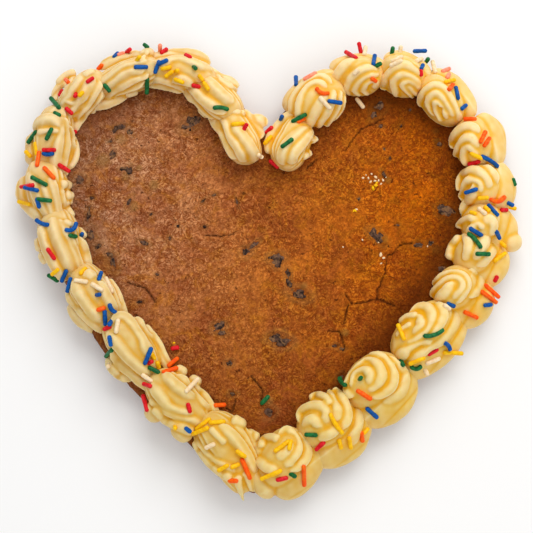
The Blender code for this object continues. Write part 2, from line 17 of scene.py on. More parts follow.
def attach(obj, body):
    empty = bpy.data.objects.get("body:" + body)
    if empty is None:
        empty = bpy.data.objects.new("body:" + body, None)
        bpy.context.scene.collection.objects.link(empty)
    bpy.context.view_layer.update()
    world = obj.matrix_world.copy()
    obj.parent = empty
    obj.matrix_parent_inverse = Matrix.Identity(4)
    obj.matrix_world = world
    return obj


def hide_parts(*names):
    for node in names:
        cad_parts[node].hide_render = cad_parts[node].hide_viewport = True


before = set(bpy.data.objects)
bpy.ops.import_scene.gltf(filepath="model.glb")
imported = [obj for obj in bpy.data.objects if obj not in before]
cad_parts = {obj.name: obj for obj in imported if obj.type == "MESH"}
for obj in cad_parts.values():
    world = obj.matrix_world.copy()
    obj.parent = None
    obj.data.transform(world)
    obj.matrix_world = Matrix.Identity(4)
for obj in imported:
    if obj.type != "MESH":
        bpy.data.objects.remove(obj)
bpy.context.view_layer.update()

MM = 0.001
NOISE_SEED = 1
noise.seed_set(NOISE_SEED)      # without a seed, the noise vectors change with the clock

# %% [markdown]
# ## Camera
# The photo looks almost straight down, from a little in front of the point of the heart. The camera comes
# first, because the sprinkles and the ridges of cream are placed along its lines of sight. A line of sight
# through a pixel is followed until it meets the cake, so a thing that is placed this way always rests on
# it.

# %% Camera and its lines of sight
PIXELS = 533
DISTANCE = 0.520
ELEVATION = math.radians(82)
AIM = Vector((-0.0013, 0.0019, 0.0120))
PIXEL_SIZE = 0.425 * MM
SENSOR = 36.0
LENS = SENSOR * DISTANCE / (PIXEL_SIZE * PIXELS)

camera_data = bpy.data.cameras.new("camera")
camera_data.sensor_width = SENSOR
camera_data.lens = LENS
camera = bpy.data.objects.new("camera", camera_data)
bpy.context.scene.collection.objects.link(camera)
camera.location = AIM + Vector((0.0, -math.cos(ELEVATION), math.sin(ELEVATION))) * DISTANCE
camera.rotation_euler = Euler((math.pi / 2.0 - ELEVATION, 0.0, 0.0))
bpy.context.scene.camera = camera
VIEW = camera.rotation_euler.to_matrix()
RIGHT = VIEW @ Vector((1.0, 0.0, 0.0))
UPWARD = VIEW @ Vector((0.0, 1.0, 0.0))


def sight(column, row):
    """Direction of the line of sight through a pixel of the picture."""
    across = (column / PIXELS - 0.5) * SENSOR
    up = (0.5 - row / PIXELS) * SENSOR
    return (VIEW @ Vector((across, up, -LENS))).normalized()


def on_sight(column, row, height):
    """Where a line of sight passes a height."""
    ray = sight(column, row)
    return camera.location + ray * ((height - camera.location.z) / ray.z)


def look_down(tree, column, row, level=0.012):
    """Where a line of sight meets a surface, or else the level plane at that height, and the normal there."""
    ray = sight(column, row)
    place, normal, _, _ = tree.ray_cast(camera.location, ray)
    if place is None:
        place = on_sight(column, row, level)
        normal = Vector((0.0, 0.0, 1.0))
    return place, normal


print("lens in mm:", round(LENS, 1))

# %% [markdown]
# ## Helpers for meshes
# A bmesh is Blender's workshop for meshes: a primitive is made in it and its vertices are then moved. These
# helpers turn the result into an object, and read and write all its vertices as one array, because sums
# over many points at once are much faster than a loop. A search tree answers where a line of sight meets a
# mesh.

# %% Mesh helpers
ROOT = "root"


def make_object(name, bm, material=None):
    """Turns a bmesh into a smooth scene object."""
    mesh = bpy.data.meshes.new(name)
    bm.to_mesh(mesh)
    bm.free()
    mesh.shade_smooth()
    if material:
        mesh.materials.append(material)
    obj = bpy.data.objects.new(name, mesh)
    bpy.context.scene.collection.objects.link(obj)
    return obj


def triangles(obj):
    """The number of triangles in an object's mesh."""
    return sum(len(face.vertices) - 2 for face in obj.data.polygons)


def read_points(mesh):
    """All vertex places as an array."""
    places = np.empty(3 * len(mesh.vertices), np.float32)
    mesh.vertices.foreach_get("co", places)
    return places.reshape(-1, 3).astype(float)


def write_points(mesh, places):
    """Moves all vertices to new places."""
    mesh.vertices.foreach_set("co", places.astype(np.float32).ravel())
    mesh.update()


def write_values(mesh, name, values):
    """Stores one number for each vertex, for a material to read."""
    attribute = mesh.attributes.new(name, "FLOAT", "POINT")
    attribute.data.foreach_set("value", np.asarray(values, np.float32))


def surface_tree(objects):
    """One search tree over several meshes."""
    whole = bmesh.new()
    for obj in objects:
        whole.from_mesh(obj.data)
    tree = BVHTree.FromBMesh(whole)
    whole.free()
    return tree


def clamp(value, low=0.0, high=1.0):
    """Keeps a number between two limits."""
    return max(low, min(high, value))


def ease(value):
    """A soft step from 0 to 1."""
    value = clamp(value)
    return value * value * (3.0 - 2.0 * value)


def on_ball(vertex):
    """Where a vertex is on a unit ball: the share of the way up from the lower pole, and the angle."""
    along = math.acos(clamp(-vertex.co.z, -1.0, 1.0)) / math.pi
    return along, math.atan2(vertex.co.y, vertex.co.x)


# %% [markdown]
# ## Outline of the cookie
# The tin's heart has two round lobes and two bowed sides that meet in the point. It is drawn from circles,
# as a template is drawn with compasses, then spaced evenly, and its two corners are softened by averaging.
# At the lower left, where a strip of bare cookie shows beside the cream, the side is a little flatter.

# %% The heart
LOBE_RADIUS = 0.0512
LOBE_LEFT = Vector((-0.0500, 0.0393))
LOBE_RIGHT = Vector((0.0465, 0.0390))
TIP = Vector((-0.0060, -0.0950))
SIDE_START_LEFT = math.radians(197)
SIDE_START_RIGHT = math.radians(-19)
CORNER_ROUNDING = 0.012
OUTLINE_SPACING = 0.0015
FLAT_PLACE = Vector((-0.0370, -0.0700))
FLAT_LENGTH = 0.022
FLAT_DEPTH = 0.0018
OUTLINE_POINTS = 400


def side_arc(lobe, start, steps):
    """The bowed side: an arc that leaves the lobe smoothly at the start angle and ends at the tip."""
    outward = Vector((math.cos(start), math.sin(start)))
    first = lobe + outward * LOBE_RADIUS
    chord = TIP - first
    radius = -chord.length_squared / (2.0 * chord.dot(outward))
    middle = first - outward * radius
    begin = math.atan2(first.y - middle.y, first.x - middle.x)
    sweep = math.atan2(TIP.y - middle.y, TIP.x - middle.x) - begin
    sweep = (sweep + math.pi) % (2.0 * math.pi) - math.pi
    angles = [begin + sweep * step / steps for step in range(steps)]
    return [middle + Vector((math.cos(a), math.sin(a))) * radius for a in angles]


def lobe_arc(lobe, first, last, steps):
    """Points along a lobe's circle."""
    angles = [first + (last - first) * step / steps for step in range(steps)]
    return [lobe + Vector((math.cos(a), math.sin(a))) * LOBE_RADIUS for a in angles]


def resample(points, count):
    """The same closed line with its points evenly spaced."""
    line = np.array([tuple(p) for p in points + [points[0]]])
    reach = np.concatenate(([0.0], np.cumsum(np.linalg.norm(np.diff(line, axis=0), axis=1))))
    goals = np.arange(count) * reach[-1] / count
    return [Vector((np.interp(g, reach, line[:, 0]), np.interp(g, reach, line[:, 1]))) for g in goals]


def rounded(points, rounds):
    """Softens the corners of a closed line by averaging neighbours."""
    count = len(points)
    for _ in range(rounds):
        points = [
            points[i] * 0.5 + (points[i - 1] + points[(i + 1) % count]) * 0.25 for i in range(count)
        ]
    return points


def heart_outline(count):
    """The cookie's outer edge, counter-clockwise from the cleft."""
    half_gap = (LOBE_RIGHT.x - LOBE_LEFT.x) / 2.0
    cleft_angle = math.acos(half_gap / LOBE_RADIUS)
    line = lobe_arc(LOBE_LEFT, cleft_angle, SIDE_START_LEFT, count)
    line += side_arc(LOBE_LEFT, SIDE_START_LEFT, count)
    line += list(reversed(side_arc(LOBE_RIGHT, SIDE_START_RIGHT, count)))
    line += lobe_arc(LOBE_RIGHT, SIDE_START_RIGHT, math.pi - cleft_angle, count)
    total = sum((b - a).length for a, b in zip(line, line[1:]))
    line = resample(line, round(total / OUTLINE_SPACING))
    middle = Vector((0.0, 0.0))
    for point in line:
        flat = math.exp(-((point - FLAT_PLACE).length / FLAT_LENGTH) ** 2)
        point += (middle - point).normalized() * FLAT_DEPTH * flat
    line = rounded(line, 2 * round(CORNER_ROUNDING / OUTLINE_SPACING))
    return resample(line, count)


outline = heart_outline(OUTLINE_POINTS)
OUTLINE = np.array([tuple(point) for point in outline])


def depth_inside(x, y):
    """How far plan positions lie inside the heart, negative outside it, for arrays of x and y."""
    nearest = np.full(x.shape, 1.0)
    inside = np.zeros(x.shape, bool)
    for (ax, ay), (bx, by) in zip(OUTLINE, np.roll(OUTLINE, -1, axis=0)):
        dx, dy = bx - ax, by - ay
        share = np.clip(((x - ax) * dx + (y - ay) * dy) / (dx * dx + dy * dy), 0.0, 1.0)
        nearest = np.minimum(nearest, np.hypot(x - ax - share * dx, y - ay - share * dy))
        crosses = (ay > y) != (by > y)
        if ay != by:
            inside ^= crosses & (x < ax + (y - ay) * dx / (by - ay))
    return np.where(inside, nearest, -nearest)


print("outline points:", len(outline))

# %% [markdown]
# ## Colours
# Colours are written as they look on a screen, from 0 to 255. A shader works with light, so each value is
# converted once. The class has one short method for each kind of node, and all the finishes of the cake are
# built with it. Every pattern reads the piece's own coordinates in metres, so its grain has a true size.

# %% Colour and node helpers
def paint(red, green, blue):
    """A screen colour as the linear colour that a shader needs."""
    linear = []
    for value in (red / 255.0, green / 255.0, blue / 255.0):
        linear.append(value / 12.92 if value <= 0.04045 else ((value + 0.055) / 1.055) ** 2.4)
    return (*linear, 1.0)


class Finish:
    """A material whose pattern nodes are added one by one."""

    def __init__(self, name, roughness, specular):
        self.material = bpy.data.materials.new(name)
        self.material.use_nodes = True
        self.tree = self.material.node_tree
        self.shader = self.tree.nodes["Principled BSDF"]
        self.shader.inputs["Roughness"].default_value = roughness
        self.shader.inputs["Specular IOR Level"].default_value = specular
        self.place = self.tree.nodes.new("ShaderNodeTexCoord").outputs["Object"]

    def link(self, source, target):
        """Joins a node's output to another node's input."""
        self.tree.links.new(source, target)

    def soften(self, weight, radius, scale):
        """Lets light travel a little way below the surface."""
        self.shader.inputs["Subsurface Weight"].default_value = weight
        self.shader.inputs["Subsurface Radius"].default_value = radius
        self.shader.inputs["Subsurface Scale"].default_value = scale

    def noise(self, grain, detail=3.0, distortion=0.0):
        """A cloudy pattern, with the grain as the size of one cloud in metres."""
        node = self.tree.nodes.new("ShaderNodeTexNoise")
        node.inputs["Scale"].default_value = 1.0 / grain
        node.inputs["Detail"].default_value = detail
        node.inputs["Distortion"].default_value = distortion
        self.link(self.place, node.inputs["Vector"])
        return node.outputs["Fac"]

    def threads(self, grain, width, distortion=1.0):
        """Thin winding lines, 1 on the line and 0 beside it: where a cloudy pattern is just at its middle."""
        centred = self.tree.nodes.new("ShaderNodeMath")
        centred.operation = "SUBTRACT"
        centred.inputs[1].default_value = 0.5
        self.link(self.noise(grain, 1.0, distortion), centred.inputs[0])
        size = self.tree.nodes.new("ShaderNodeMath")
        size.operation = "ABSOLUTE"
        self.link(centred.outputs["Value"], size.inputs[0])
        return self.span(size.outputs["Value"], 0.0, width, 1.0, 0.0)

    def attribute(self, name):
        """A number that the mesh carries at each vertex."""
        node = self.tree.nodes.new("ShaderNodeAttribute")
        node.attribute_name = name
        return node.outputs["Fac"]

    def carried(self, name, share):
        """The same number, from 0 to a largest share for mixing."""
        return self.span(self.attribute(name), 0.0, 1.0, 0.0, share)

    def coordinate(self, axis):
        """One of the object's own coordinates in metres."""
        node = self.tree.nodes.new("ShaderNodeSeparateXYZ")
        self.link(self.place, node.inputs["Vector"])
        return node.outputs[axis]

    def span(self, source, low, high, to_low=0.0, to_high=1.0):
        """Stretches a range of values over another one."""
        node = self.tree.nodes.new("ShaderNodeMapRange")
        node.inputs["From Min"].default_value = low
        node.inputs["From Max"].default_value = high
        node.inputs["To Min"].default_value = to_low
        node.inputs["To Max"].default_value = to_high
        self.link(source, node.inputs["Value"])
        return node.outputs["Result"]

    def mix(self, share, first, second, blend="MIX"):
        """Mixes two colours, each a node's output or a plain colour."""
        node = self.tree.nodes.new("ShaderNodeMix")
        node.data_type = "RGBA"
        node.blend_type = blend
        sockets = {socket.identifier: socket for socket in node.inputs}
        for value, key in ((share, "Factor_Float"), (first, "A_Color"), (second, "B_Color")):
            if isinstance(value, bpy.types.NodeSocket):
                self.link(value, sockets[key])
            else:
                sockets[key].default_value = value
        return next(out for out in node.outputs if out.identifier == "Result_Color")

    def tint(self, tone, red, green, blue):
        """A colour with its red, green and blue made stronger or weaker."""
        return self.mix(1.0, tone, (red, green, blue, 1.0), "MULTIPLY")

    def colour(self, source):
        """Gives the shader its colour."""
        self.link(source, self.shader.inputs["Base Color"])

    def rough(self, source):
        """Gives the shader its roughness."""
        self.link(source, self.shader.inputs["Roughness"])

    def normal(self, source):
        """Gives the shader its fine relief."""
        self.link(source, self.shader.inputs["Normal"])

    def bump(self, source, height, below=None):
        """Fine relief that is too small for the mesh, with its height in metres."""
        node = self.tree.nodes.new("ShaderNodeBump")
        node.inputs["Distance"].default_value = height
        self.link(source, node.inputs["Height"])
        if below:
            self.link(below, node.inputs["Normal"])
        return node.outputs["Normal"]


# %% [markdown]
# ## Finish of the baked cookie
# A baked top is never one brown. It is more golden to the right, with broad patches over that. At the upper
# left it is paler and rosier, partly its baked colour and partly a painted reflection of the window light.
# Towards the point it is darker, as painted shade where the light falls off. Fine pale and dark threads wind
# over it where the dough was worked, and they fade where it ran smooth. Each pattern is one mix on top of the
# colour so far, so every layer can be tried alone.

# %% Cookie finish: broad colours
baked = Finish("baked_cookie", 0.85, 0.06)
left_part = baked.span(baked.coordinate("X"), -0.085, 0.0)
right_part = baked.span(baked.coordinate("X"), 0.0, 0.060)
upper_reflection_share = baked.span(baked.coordinate("Y"), -0.050, 0.020)
shade_towards_point = baked.span(baked.coordinate("Y"), 0.0, -0.085, 0.0, 0.62)
rosy_patches = baked.span(baked.noise(0.017, 3.0, 1.0), 0.45, 0.66, 0.0, 0.55)
olive_patches = baked.span(baked.noise(0.010, 3.0, 2.0), 0.46, 0.66, 0.0, 0.60)
# paler, rosier upper left: baked colour with a painted reflection of the window light over it
left_tone_and_reflection = baked.mix(upper_reflection_share, paint(210, 136, 78), paint(224, 170, 128))
tone = baked.mix(left_part, left_tone_and_reflection, paint(226, 131, 50))
tone = baked.mix(right_part, tone, paint(233, 125, 24))
# painted shade: darker towards the point, where the light falls off
tone = baked.mix(shade_towards_point, tone, paint(128, 62, 18))
tone = baked.mix(rosy_patches, tone, paint(170, 86, 46))
tone = baked.mix(olive_patches, tone, paint(206, 126, 28))
print("nodes for the broad colours:", len(baked.tree.nodes))

# %% [markdown]
# ## Fine marks on the baked top
# The threads multiply the colour below them, so they stay in tune with it. The mesh will carry four numbers
# of its own: the height of the crumb, whose dips get painted shade; the nearness of a crack, which paints
# shade inside cracks and chip pits; the ring round a chip; and the browned rim, which also carries a painted
# shadow of the cream beside it. The finish reads them, so colour and relief agree.

# %% Cookie finish: threads, crumb and marks
worked = baked.span(baked.noise(0.012, 2.0, 1.0), 0.36, 0.54, 0.35, 1.0)
pale_threads = baked.threads(0.0027, 0.13, 1.6)
dark_threads = baked.threads(0.0029, 0.14, 2.0)
grain = baked.span(baked.noise(0.0012, 2.0, 1.0), 0.35, 0.60, 0.40, 0.0)
pits = baked.span(baked.noise(0.0019, 1.0, 0.5), 0.70, 0.76, 0.0, 0.75)
threaded = baked.mix(pale_threads, tone, baked.tint(tone, 1.14, 1.30, 1.55))
threaded = baked.mix(dark_threads, threaded, baked.tint(tone, 0.44, 0.28, 0.17))
tone = baked.mix(worked, tone, threaded)
tone = baked.mix(grain, tone, paint(118, 54, 16))
# painted shade in the dips of the crumb
crumb_dip_shade = baked.span(baked.attribute("crumb"), -0.5, 0.5, 0.40, 0.0)
tone = baked.mix(crumb_dip_shade, tone, paint(112, 50, 14))
tone = baked.mix(baked.carried("halo", 0.70), tone, paint(158, 116, 62))
tone = baked.mix(right_part, tone, baked.tint(tone, 1.0, 0.92, 0.35))
# browned rim, with a painted shadow of the cream beside it
tone = baked.mix(baked.carried("browned_and_shaded", 0.80), tone, paint(88, 38, 6))
tone = baked.mix(pits, tone, paint(60, 24, 8))
# painted shade inside cracks and chip pits
tone = baked.mix(baked.carried("crack", 0.85), tone, paint(48, 22, 10))
baked.colour(tone)
fine = baked.bump(baked.threads(0.0027, 0.18, 1.6), 0.00030)
baked.normal(baked.bump(baked.noise(0.0006, 4.0, 2.0), 0.00025, fine))
print("nodes for the whole cookie:", len(baked.tree.nodes))

# %% [markdown]
# ## The cookie
# The cookie is a slab with a rounded upper rim and a flat foot. Its top could be one face with the relief
# as bump, but the relief then has no outline. So a fine grid is cut to the heart, its rim is moved onto the
# outline, and the side is extruded down from it in steps: first round the rim, then straight, then a little
# inwards at the foot.

# %% Cookie slab
COOKIE_HEIGHT = 0.0120
EDGE_ROUNDING = 0.0035
FOOT_INSET = 0.0015
GRID = 0.00052
HALF_GRID = 0.108
# Steps of the side: turn round the rim in degrees, and drop below the round part in metres
SIDE_LEVELS = ((20, 0), (40, 0), (60, 0), (75, 0), (90, 0), (90, 0.0025), (90, 0.0055))


def inset_line(distance):
    """The outline moved inwards."""
    ahead = np.roll(OUTLINE, -1, axis=0) - np.roll(OUTLINE, 1, axis=0)
    ahead /= np.linalg.norm(ahead, axis=1)[:, None]
    return OUTLINE - distance * np.stack((ahead[:, 1], -ahead[:, 0]), axis=1)


def nearest_on(line, spot):
    """The nearest point of a closed line, with the outward direction there."""
    start = line
    run = np.roll(line, -1, axis=0) - line
    share = np.clip(((spot - start) * run).sum(1) / (run * run).sum(1), 0.0, 1.0)
    points = start + run * share[:, None]
    best = int(np.argmin(((points - spot) ** 2).sum(1)))
    outward = Vector((run[best][1], -run[best][0])).normalized()
    return Vector(points[best]), outward


def heart_grid():
    """The cookie's top: a fine grid cut to the heart, at the cookie's height."""
    bm = bmesh.new()
    cuts = round(2.0 * HALF_GRID / GRID)
    bmesh.ops.create_grid(bm, x_segments=cuts, y_segments=cuts, size=HALF_GRID)
    flat = np.array([v.co[:2] for v in bm.verts])
    keep = depth_inside(flat[:, 0], flat[:, 1]) > EDGE_ROUNDING
    outer = [v for v, kept in zip(bm.verts, keep) if not kept]
    bmesh.ops.delete(bm, geom=outer, context="VERTS")
    spikes = [v for v in bm.verts if len(v.link_faces) < 2]
    bmesh.ops.delete(bm, geom=spikes, context="VERTS")
    bmesh.ops.translate(bm, verts=bm.verts, vec=(0.0, 0.0, COOKIE_HEIGHT))
    return bm


def draw_rim(bm, edges, bases, out, height):
    """Extrudes the open rim to a distance outside its first line and a height. Gives the new rim back."""
    made = bmesh.ops.extrude_edge_only(bm, edges=edges)["geom"]
    moved = {}
    for vertex in (item for item in made if isinstance(item, bmesh.types.BMVert)):
        source = next(e.other_vert(vertex) for e in vertex.link_edges if e.other_vert(vertex) in bases)
        spot, side = bases[source]
        vertex.co = (*(spot + side * out), height)
        moved[vertex] = (spot, side)
    return [item for item in made if isinstance(item, bmesh.types.BMEdge)], moved


def slab():
    """The whole cookie: the top, its side drawn down from the rim, and the flat underside."""
    bm = heart_grid()
    top_line = inset_line(EDGE_ROUNDING)
    rim = [v for v in bm.verts if v.is_boundary]
    for vertex in rim:
        spot, _ = nearest_on(top_line, np.array(vertex.co[:2]))
        vertex.co.xy = spot
    edges = [e for e in bm.edges if e.is_boundary]
    bases = {v: (v.co.xy.copy(), nearest_on(top_line, np.array(v.co[:2]))[1]) for v in rim}
    for turn, drop in SIDE_LEVELS:
        angle = math.radians(turn)
        down = EDGE_ROUNDING * (1.0 - math.cos(angle)) + drop
        edges, bases = draw_rim(bm, edges, bases, EDGE_ROUNDING * math.sin(angle), COOKIE_HEIGHT - down)
    edges, _ = draw_rim(bm, edges, bases, EDGE_ROUNDING - FOOT_INSET, 0.0)
    bmesh.ops.holes_fill(bm, edges=edges, sides=0)
    bmesh.ops.recalc_face_normals(bm, faces=bm.faces)
    return bm


cookie = make_object("cookie_cake_base", slab(), baked.material)
print("cookie triangles:", triangles(cookie))

# %% [markdown]
# ## Cracks and chips
# The cracks and chips are where the photo shows them, given in its pixels. Each crack is a line of a few
# points. Each chip has a length, a width and a turn. A ragged chip is made of two or three that touch, and
# the smallest ones are specks. Some chips lie under a thin skin of dough, which shows as a low bump.

# %% Places of cracks and chips
CRACKS = (
    ((383, 119), (372, 124), (360, 130), (350, 143), (345, 151)),
    ((412, 243), (404, 243), (398, 247), (394, 253), (387, 256)),
    ((387, 256), (386, 264), (385, 273), (381, 282), (378, 290), (377, 298), (370, 301), (352, 304),
     (345, 294)),
    ((377, 299), (386, 302), (395, 306)),
    ((348, 304), (346, 316), (344, 324)),
    ((328, 331), (339, 331), (342, 338), (345, 348)),
    ((251, 376), (257, 383), (263, 391), (261, 404)),
    ((205, 235), (219, 236), (234, 234)),
    ((129, 283), (145, 288), (150, 294), (155, 302)),
    ((307, 169), (312, 163), (316, 160)),
    ((236, 400), (232, 412), (226, 408)),
)
# Chips: column, row, length, width in pixels, turn in degrees
CHIPS = (
    (114.5, 130.5, 8, 5, 62), (121, 127, 11, 6, 0), (129, 131, 8, 5, -55), (110, 141, 6, 4, 0),
    (193, 121, 23, 11, 36), (184, 127, 8, 6, 30), (113, 155, 12, 6, 65), (129, 173, 6, 14, 0),
    (124, 169, 9, 5, 0), (80, 180, 9, 13, 60), (129, 203, 5, 14, -25), (92, 198, 5, 3, 0),
    (88, 216, 5, 17, -12), (91, 233, 9, 13, 0), (144, 243, 10, 6, -20), (99, 246, 8, 5, 40),
    (113, 262, 9, 15, 15), (109, 254, 8, 6, 0), (246, 252, 10, 8, 45), (254, 245, 12, 5, 42),
    (379, 107, 15, 12, 62), (374, 115, 10, 7, 60), (381, 126, 6, 4, 0), (439, 144, 6, 6, 0),
    (384, 175, 9, 4, -60), (277, 258, 14, 9, 8), (277, 263, 8, 9, 0), (377, 236, 18, 9, -35),
    (373, 232, 6, 9, 0), (446, 211, 17, 12, -30), (418, 245, 11, 6, 0), (431, 243, 6, 5, 0),
    (288, 273, 6, 9, 10), (289, 284, 6, 11, 10), (300, 294, 20, 11, -10), (275, 337, 16, 10, 20),
    (283, 341, 17, 11, -10), (342, 349, 7, 4, 0), (218, 327, 12, 8, 20), (221, 333, 8, 5, 0),
    (230, 363, 7, 6, 0), (140, 302, 7, 3, 20), (233, 394, 8, 5, 0), (270, 413, 12, 9, 20),
    (341, 377, 9, 6, 60), (335, 346, 6, 4, 10), (170, 238, 4.5, 4, 0), (178, 226, 4, 3.5, 0),
    (203, 201, 6, 2.5, 50), (214, 195, 5, 3, 30), (237, 202, 9, 2.5, -75), (151, 214, 3.5, 3, 0),
    (205, 227, 4.5, 3, 0), (157, 274, 5, 3, 0), (398, 225, 4, 3.5, 0), (384, 149, 3, 2.5, 0),
    (390, 158, 3, 4, 0), (359, 199, 3, 3.5, 0), (401, 126, 4, 3, 40), (410, 110, 4, 3, -30),
    (442, 269, 8, 6, 40),
)
# Bumps where a chip lies under a thin skin of dough: column, row, width in pixels
COVERED = (
    (121, 139, 14), (103, 160, 17), (126, 176, 11), (134, 207, 11), (437, 141, 9), (139, 168, 8),
    (385, 240, 9), (345, 333, 9), (268, 401, 12), (436, 250, 12), (154, 185, 12), (304, 286, 9),
    (436, 131, 9), (388, 180, 8),
)
print("cracks:", len(CRACKS), "chips:", len(CHIPS), "covered chips:", len(COVERED))

# %% [markdown]
# ## Swells and crumb
# The top of a cookie swells and sinks softly, and it has lumps and crumb of a few millimetres and less.
# Each of these is a cloud of noise with its own grain, worked out for all the vertices of the top at once.
# One more cloud only bends the edges of cracks and pits, so none of them is a plain curve.

# %% Clouds of noise over the top
WOBBLE_GRAIN = 0.0022
SWELL_GRAIN = 0.017
LUMP_GRAIN = 0.0052
CRUMB_GRAIN = 0.0021


def cloud(places, grain, seed, octaves=2):
    """Soft noise at many places, from about -1 to 1."""
    shift = Vector((seed, 1.7 * seed, 0.0))
    return np.array([
        noise.fractal(Vector(p) / grain + shift, 0.9, 2.0, octaves, noise_basis="PERLIN_ORIGINAL")
        for p in places
    ])


points = read_points(cookie.data)
top = points[:, 2] > COOKIE_HEIGHT - 0.0001
x, y = points[top, 0], points[top, 1]
level = np.stack((x, y, 0.0 * x), axis=1)
wobble = cloud(level, WOBBLE_GRAIN, 3.0)
swell = cloud(level, SWELL_GRAIN, 11.0)
lumps = cloud(level, LUMP_GRAIN, 5.0)
crumb = 0.5 - 2.2 * np.abs(cloud(level, CRUMB_GRAIN, 8.0))
print("vertices on the top:", len(x))

# %% [markdown]
# ## Cracks
# A crack is deepest along its middle and closes at both sides. The distance to its line, bent by the
# wobble, gives a number from 1 in the middle to 0 at the edge.

# %% Cracks across the top
CRACK_WIDTH = 0.00055
CRACK_WOBBLE = 0.00045


def on_top(column, row):
    """The place on the cookie's flat top that a pixel shows."""
    return on_sight(column, row, COOKIE_HEIGHT)


def near_line(x, y, line):
    """Distance to a line of points, for arrays of x and y."""
    nearest = np.full(x.shape, 1.0)
    for a, b in zip(line, line[1:]):
        dx, dy = b.x - a.x, b.y - a.y
        share = np.clip(((x - a.x) * dx + (y - a.y) * dy) / (dx * dx + dy * dy), 0.0, 1.0)
        nearest = np.minimum(nearest, np.hypot(x - a.x - share * dx, y - a.y - share * dy))
    return nearest


crack = np.zeros(len(x))
for line in CRACKS:
    line = [on_top(column, row) for column, row in line]
    reach = near_line(x + wobble * CRACK_WOBBLE, y - wobble * CRACK_WOBBLE, line)
    crack = np.maximum(crack, np.clip(1.0 - reach / CRACK_WIDTH, 0.0, 1.0))
print("vertices in cracks:", int((crack > 0.0).sum()))

# %% [markdown]
# ## Pits and bumps of the chips
# A chip melts and sets again in the oven, and leaves a pit with a raised ring round it. Each chip is
# measured as an uneven oval: a vertex inside it belongs to the pit, and one near the oval's edge to the
# ring, which the finish also paints dull. A covered chip pushes the skin of dough up.

# %% Pits, rings and covered chips
PIT_WOBBLE = 0.0006
PIT_REACH = 1.3
PIT_UNEVEN = 0.35
RING_REACH = 1.45
RING_WIDTH = 0.45
SKIN_REACH = 1.2

pit = np.zeros(len(x))
halo = np.zeros(len(x))
for column, row, length, width, turned in CHIPS:
    middle = on_top(column, row)
    turn = math.radians(turned)
    along = (x - middle.x + PIT_WOBBLE * wobble) * math.cos(turn) + (y - middle.y) * math.sin(turn)
    aside = (y - middle.y - PIT_WOBBLE * wobble) * math.cos(turn) - (x - middle.x) * math.sin(turn)
    far = np.hypot(along / (length * PIXEL_SIZE / 2.0), aside / (width * PIXEL_SIZE / 2.0))
    far += PIT_UNEVEN * lumps
    pit = np.maximum(pit, np.clip(PIT_REACH - far, 0.0, 1.0))
    halo = np.maximum(halo, 0.5 * np.exp(-((far - RING_REACH) / RING_WIDTH) ** 2))
skin = np.zeros(len(x))
for column, row, width in COVERED:
    middle = on_top(column, row)
    far = np.hypot(x - middle.x, y - middle.y + PIT_WOBBLE * wobble) / (width * PIXEL_SIZE / 2.0)
    skin = np.maximum(skin, np.clip(SKIN_REACH - far ** 2, 0.0, 1.0))
print("vertices in pits:", int((pit > 0.0).sum()))

# %% [markdown]
# ## Relief in the mesh
# All the parts of the relief are added up in metres and move the top's vertices up or down. Towards the
# rim, below the cream, the relief fades, so the strokes stand on an even top. The side is roughened
# sideways.

# %% Relief of the cookie
SWELL_HEIGHT = 0.00045
LUMP_HEIGHT = 0.00036
CRUMB_HEIGHT = 0.00026
RING_HEIGHT = 0.00030
SKIN_RISE = 0.0007
PIT_DEPTH = 0.0006
CRACK_DEPTH = 0.0010
EVEN_RIM = 0.006
EVEN_FADE = 0.012
SIDE_GRAIN = 0.0032
SIDE_ROUGH = 0.00035
SIDE_INSET = 0.00025

depth = depth_inside(x, y)
even = np.clip((depth - EVEN_RIM) / EVEN_FADE, 0.15, 1.0)
relief = SWELL_HEIGHT * swell + LUMP_HEIGHT * lumps + CRUMB_HEIGHT * crumb
relief += RING_HEIGHT * halo + SKIN_RISE * skin - PIT_DEPTH * pit - CRACK_DEPTH * crack
points[top, 2] += relief * even
side = ~top & (points[:, 2] > 0.0005)
roughness = cloud(points[side], SIDE_GRAIN, 21.0, 3)
outward = points[side].copy()
outward[:, 2] = 0.0
outward /= np.linalg.norm(outward, axis=1)[:, None]
points[side] += outward * (SIDE_ROUGH * roughness - SIDE_INSET)[:, None]
write_points(cookie.data, points)
print("relief in mm:", round(relief.min() / MM, 2), "to", round(relief.max() / MM, 2))

# %% [markdown]
# ## Numbers for the finish
# The four numbers that the cookie's finish reads are stored on the mesh. The side of the cookie gets none
# of them but the browned one, because it bakes against the hot tin. On the top, the browned rim also carries
# a painted shadow of the cream beside it, stronger on the right.

# %% Numbers that the mesh carries
BROWNED_FROM = 0.029
BROWNED_TO = 0.016


def store(name, values, elsewhere=0.0):
    """Keeps a number for each vertex of the cookie's top."""
    whole = np.full(len(points), elsewhere)
    whole[top] = values
    write_values(cookie.data, name, whole)


# painted shadow of the cream: the rim is darkened more on the right
right_shadow_share = np.clip((x + 0.005) / 0.045, 0.0, 1.0)
browned_and_shaded = np.clip((BROWNED_FROM - depth + 0.002 * lumps) / (BROWNED_FROM - BROWNED_TO), 0.0, 1.0)
store("crumb", crumb + 0.5 * lumps)
# the crack number sets painted shade in the cracks and, at half strength, in the chip pits
store("crack", np.maximum(crack, 0.5 * pit))
store("halo", np.maximum(0.8 * halo, 0.75 * skin))
store("browned_and_shaded", browned_and_shaded * (0.52 + 0.48 * right_shadow_share), 0.5)
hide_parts("cookie")
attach(cookie, ROOT)
cookie_tree = surface_tree([cookie])
print("numbers on the cookie:", [a.name for a in cookie.data.attributes if a.data_type == "FLOAT"])

# %% [markdown]
# ## Chips
# A chip of baked chocolate is an uneven lump with a dull top, sunk into the dough. Each one is a small
# ball, drawn out, roughened with noise and half sunk into the floor of its pit. Its finish goes from nearly
# black to a dusty brown, because a film of sugar and fat dulls the chocolate as it bakes.

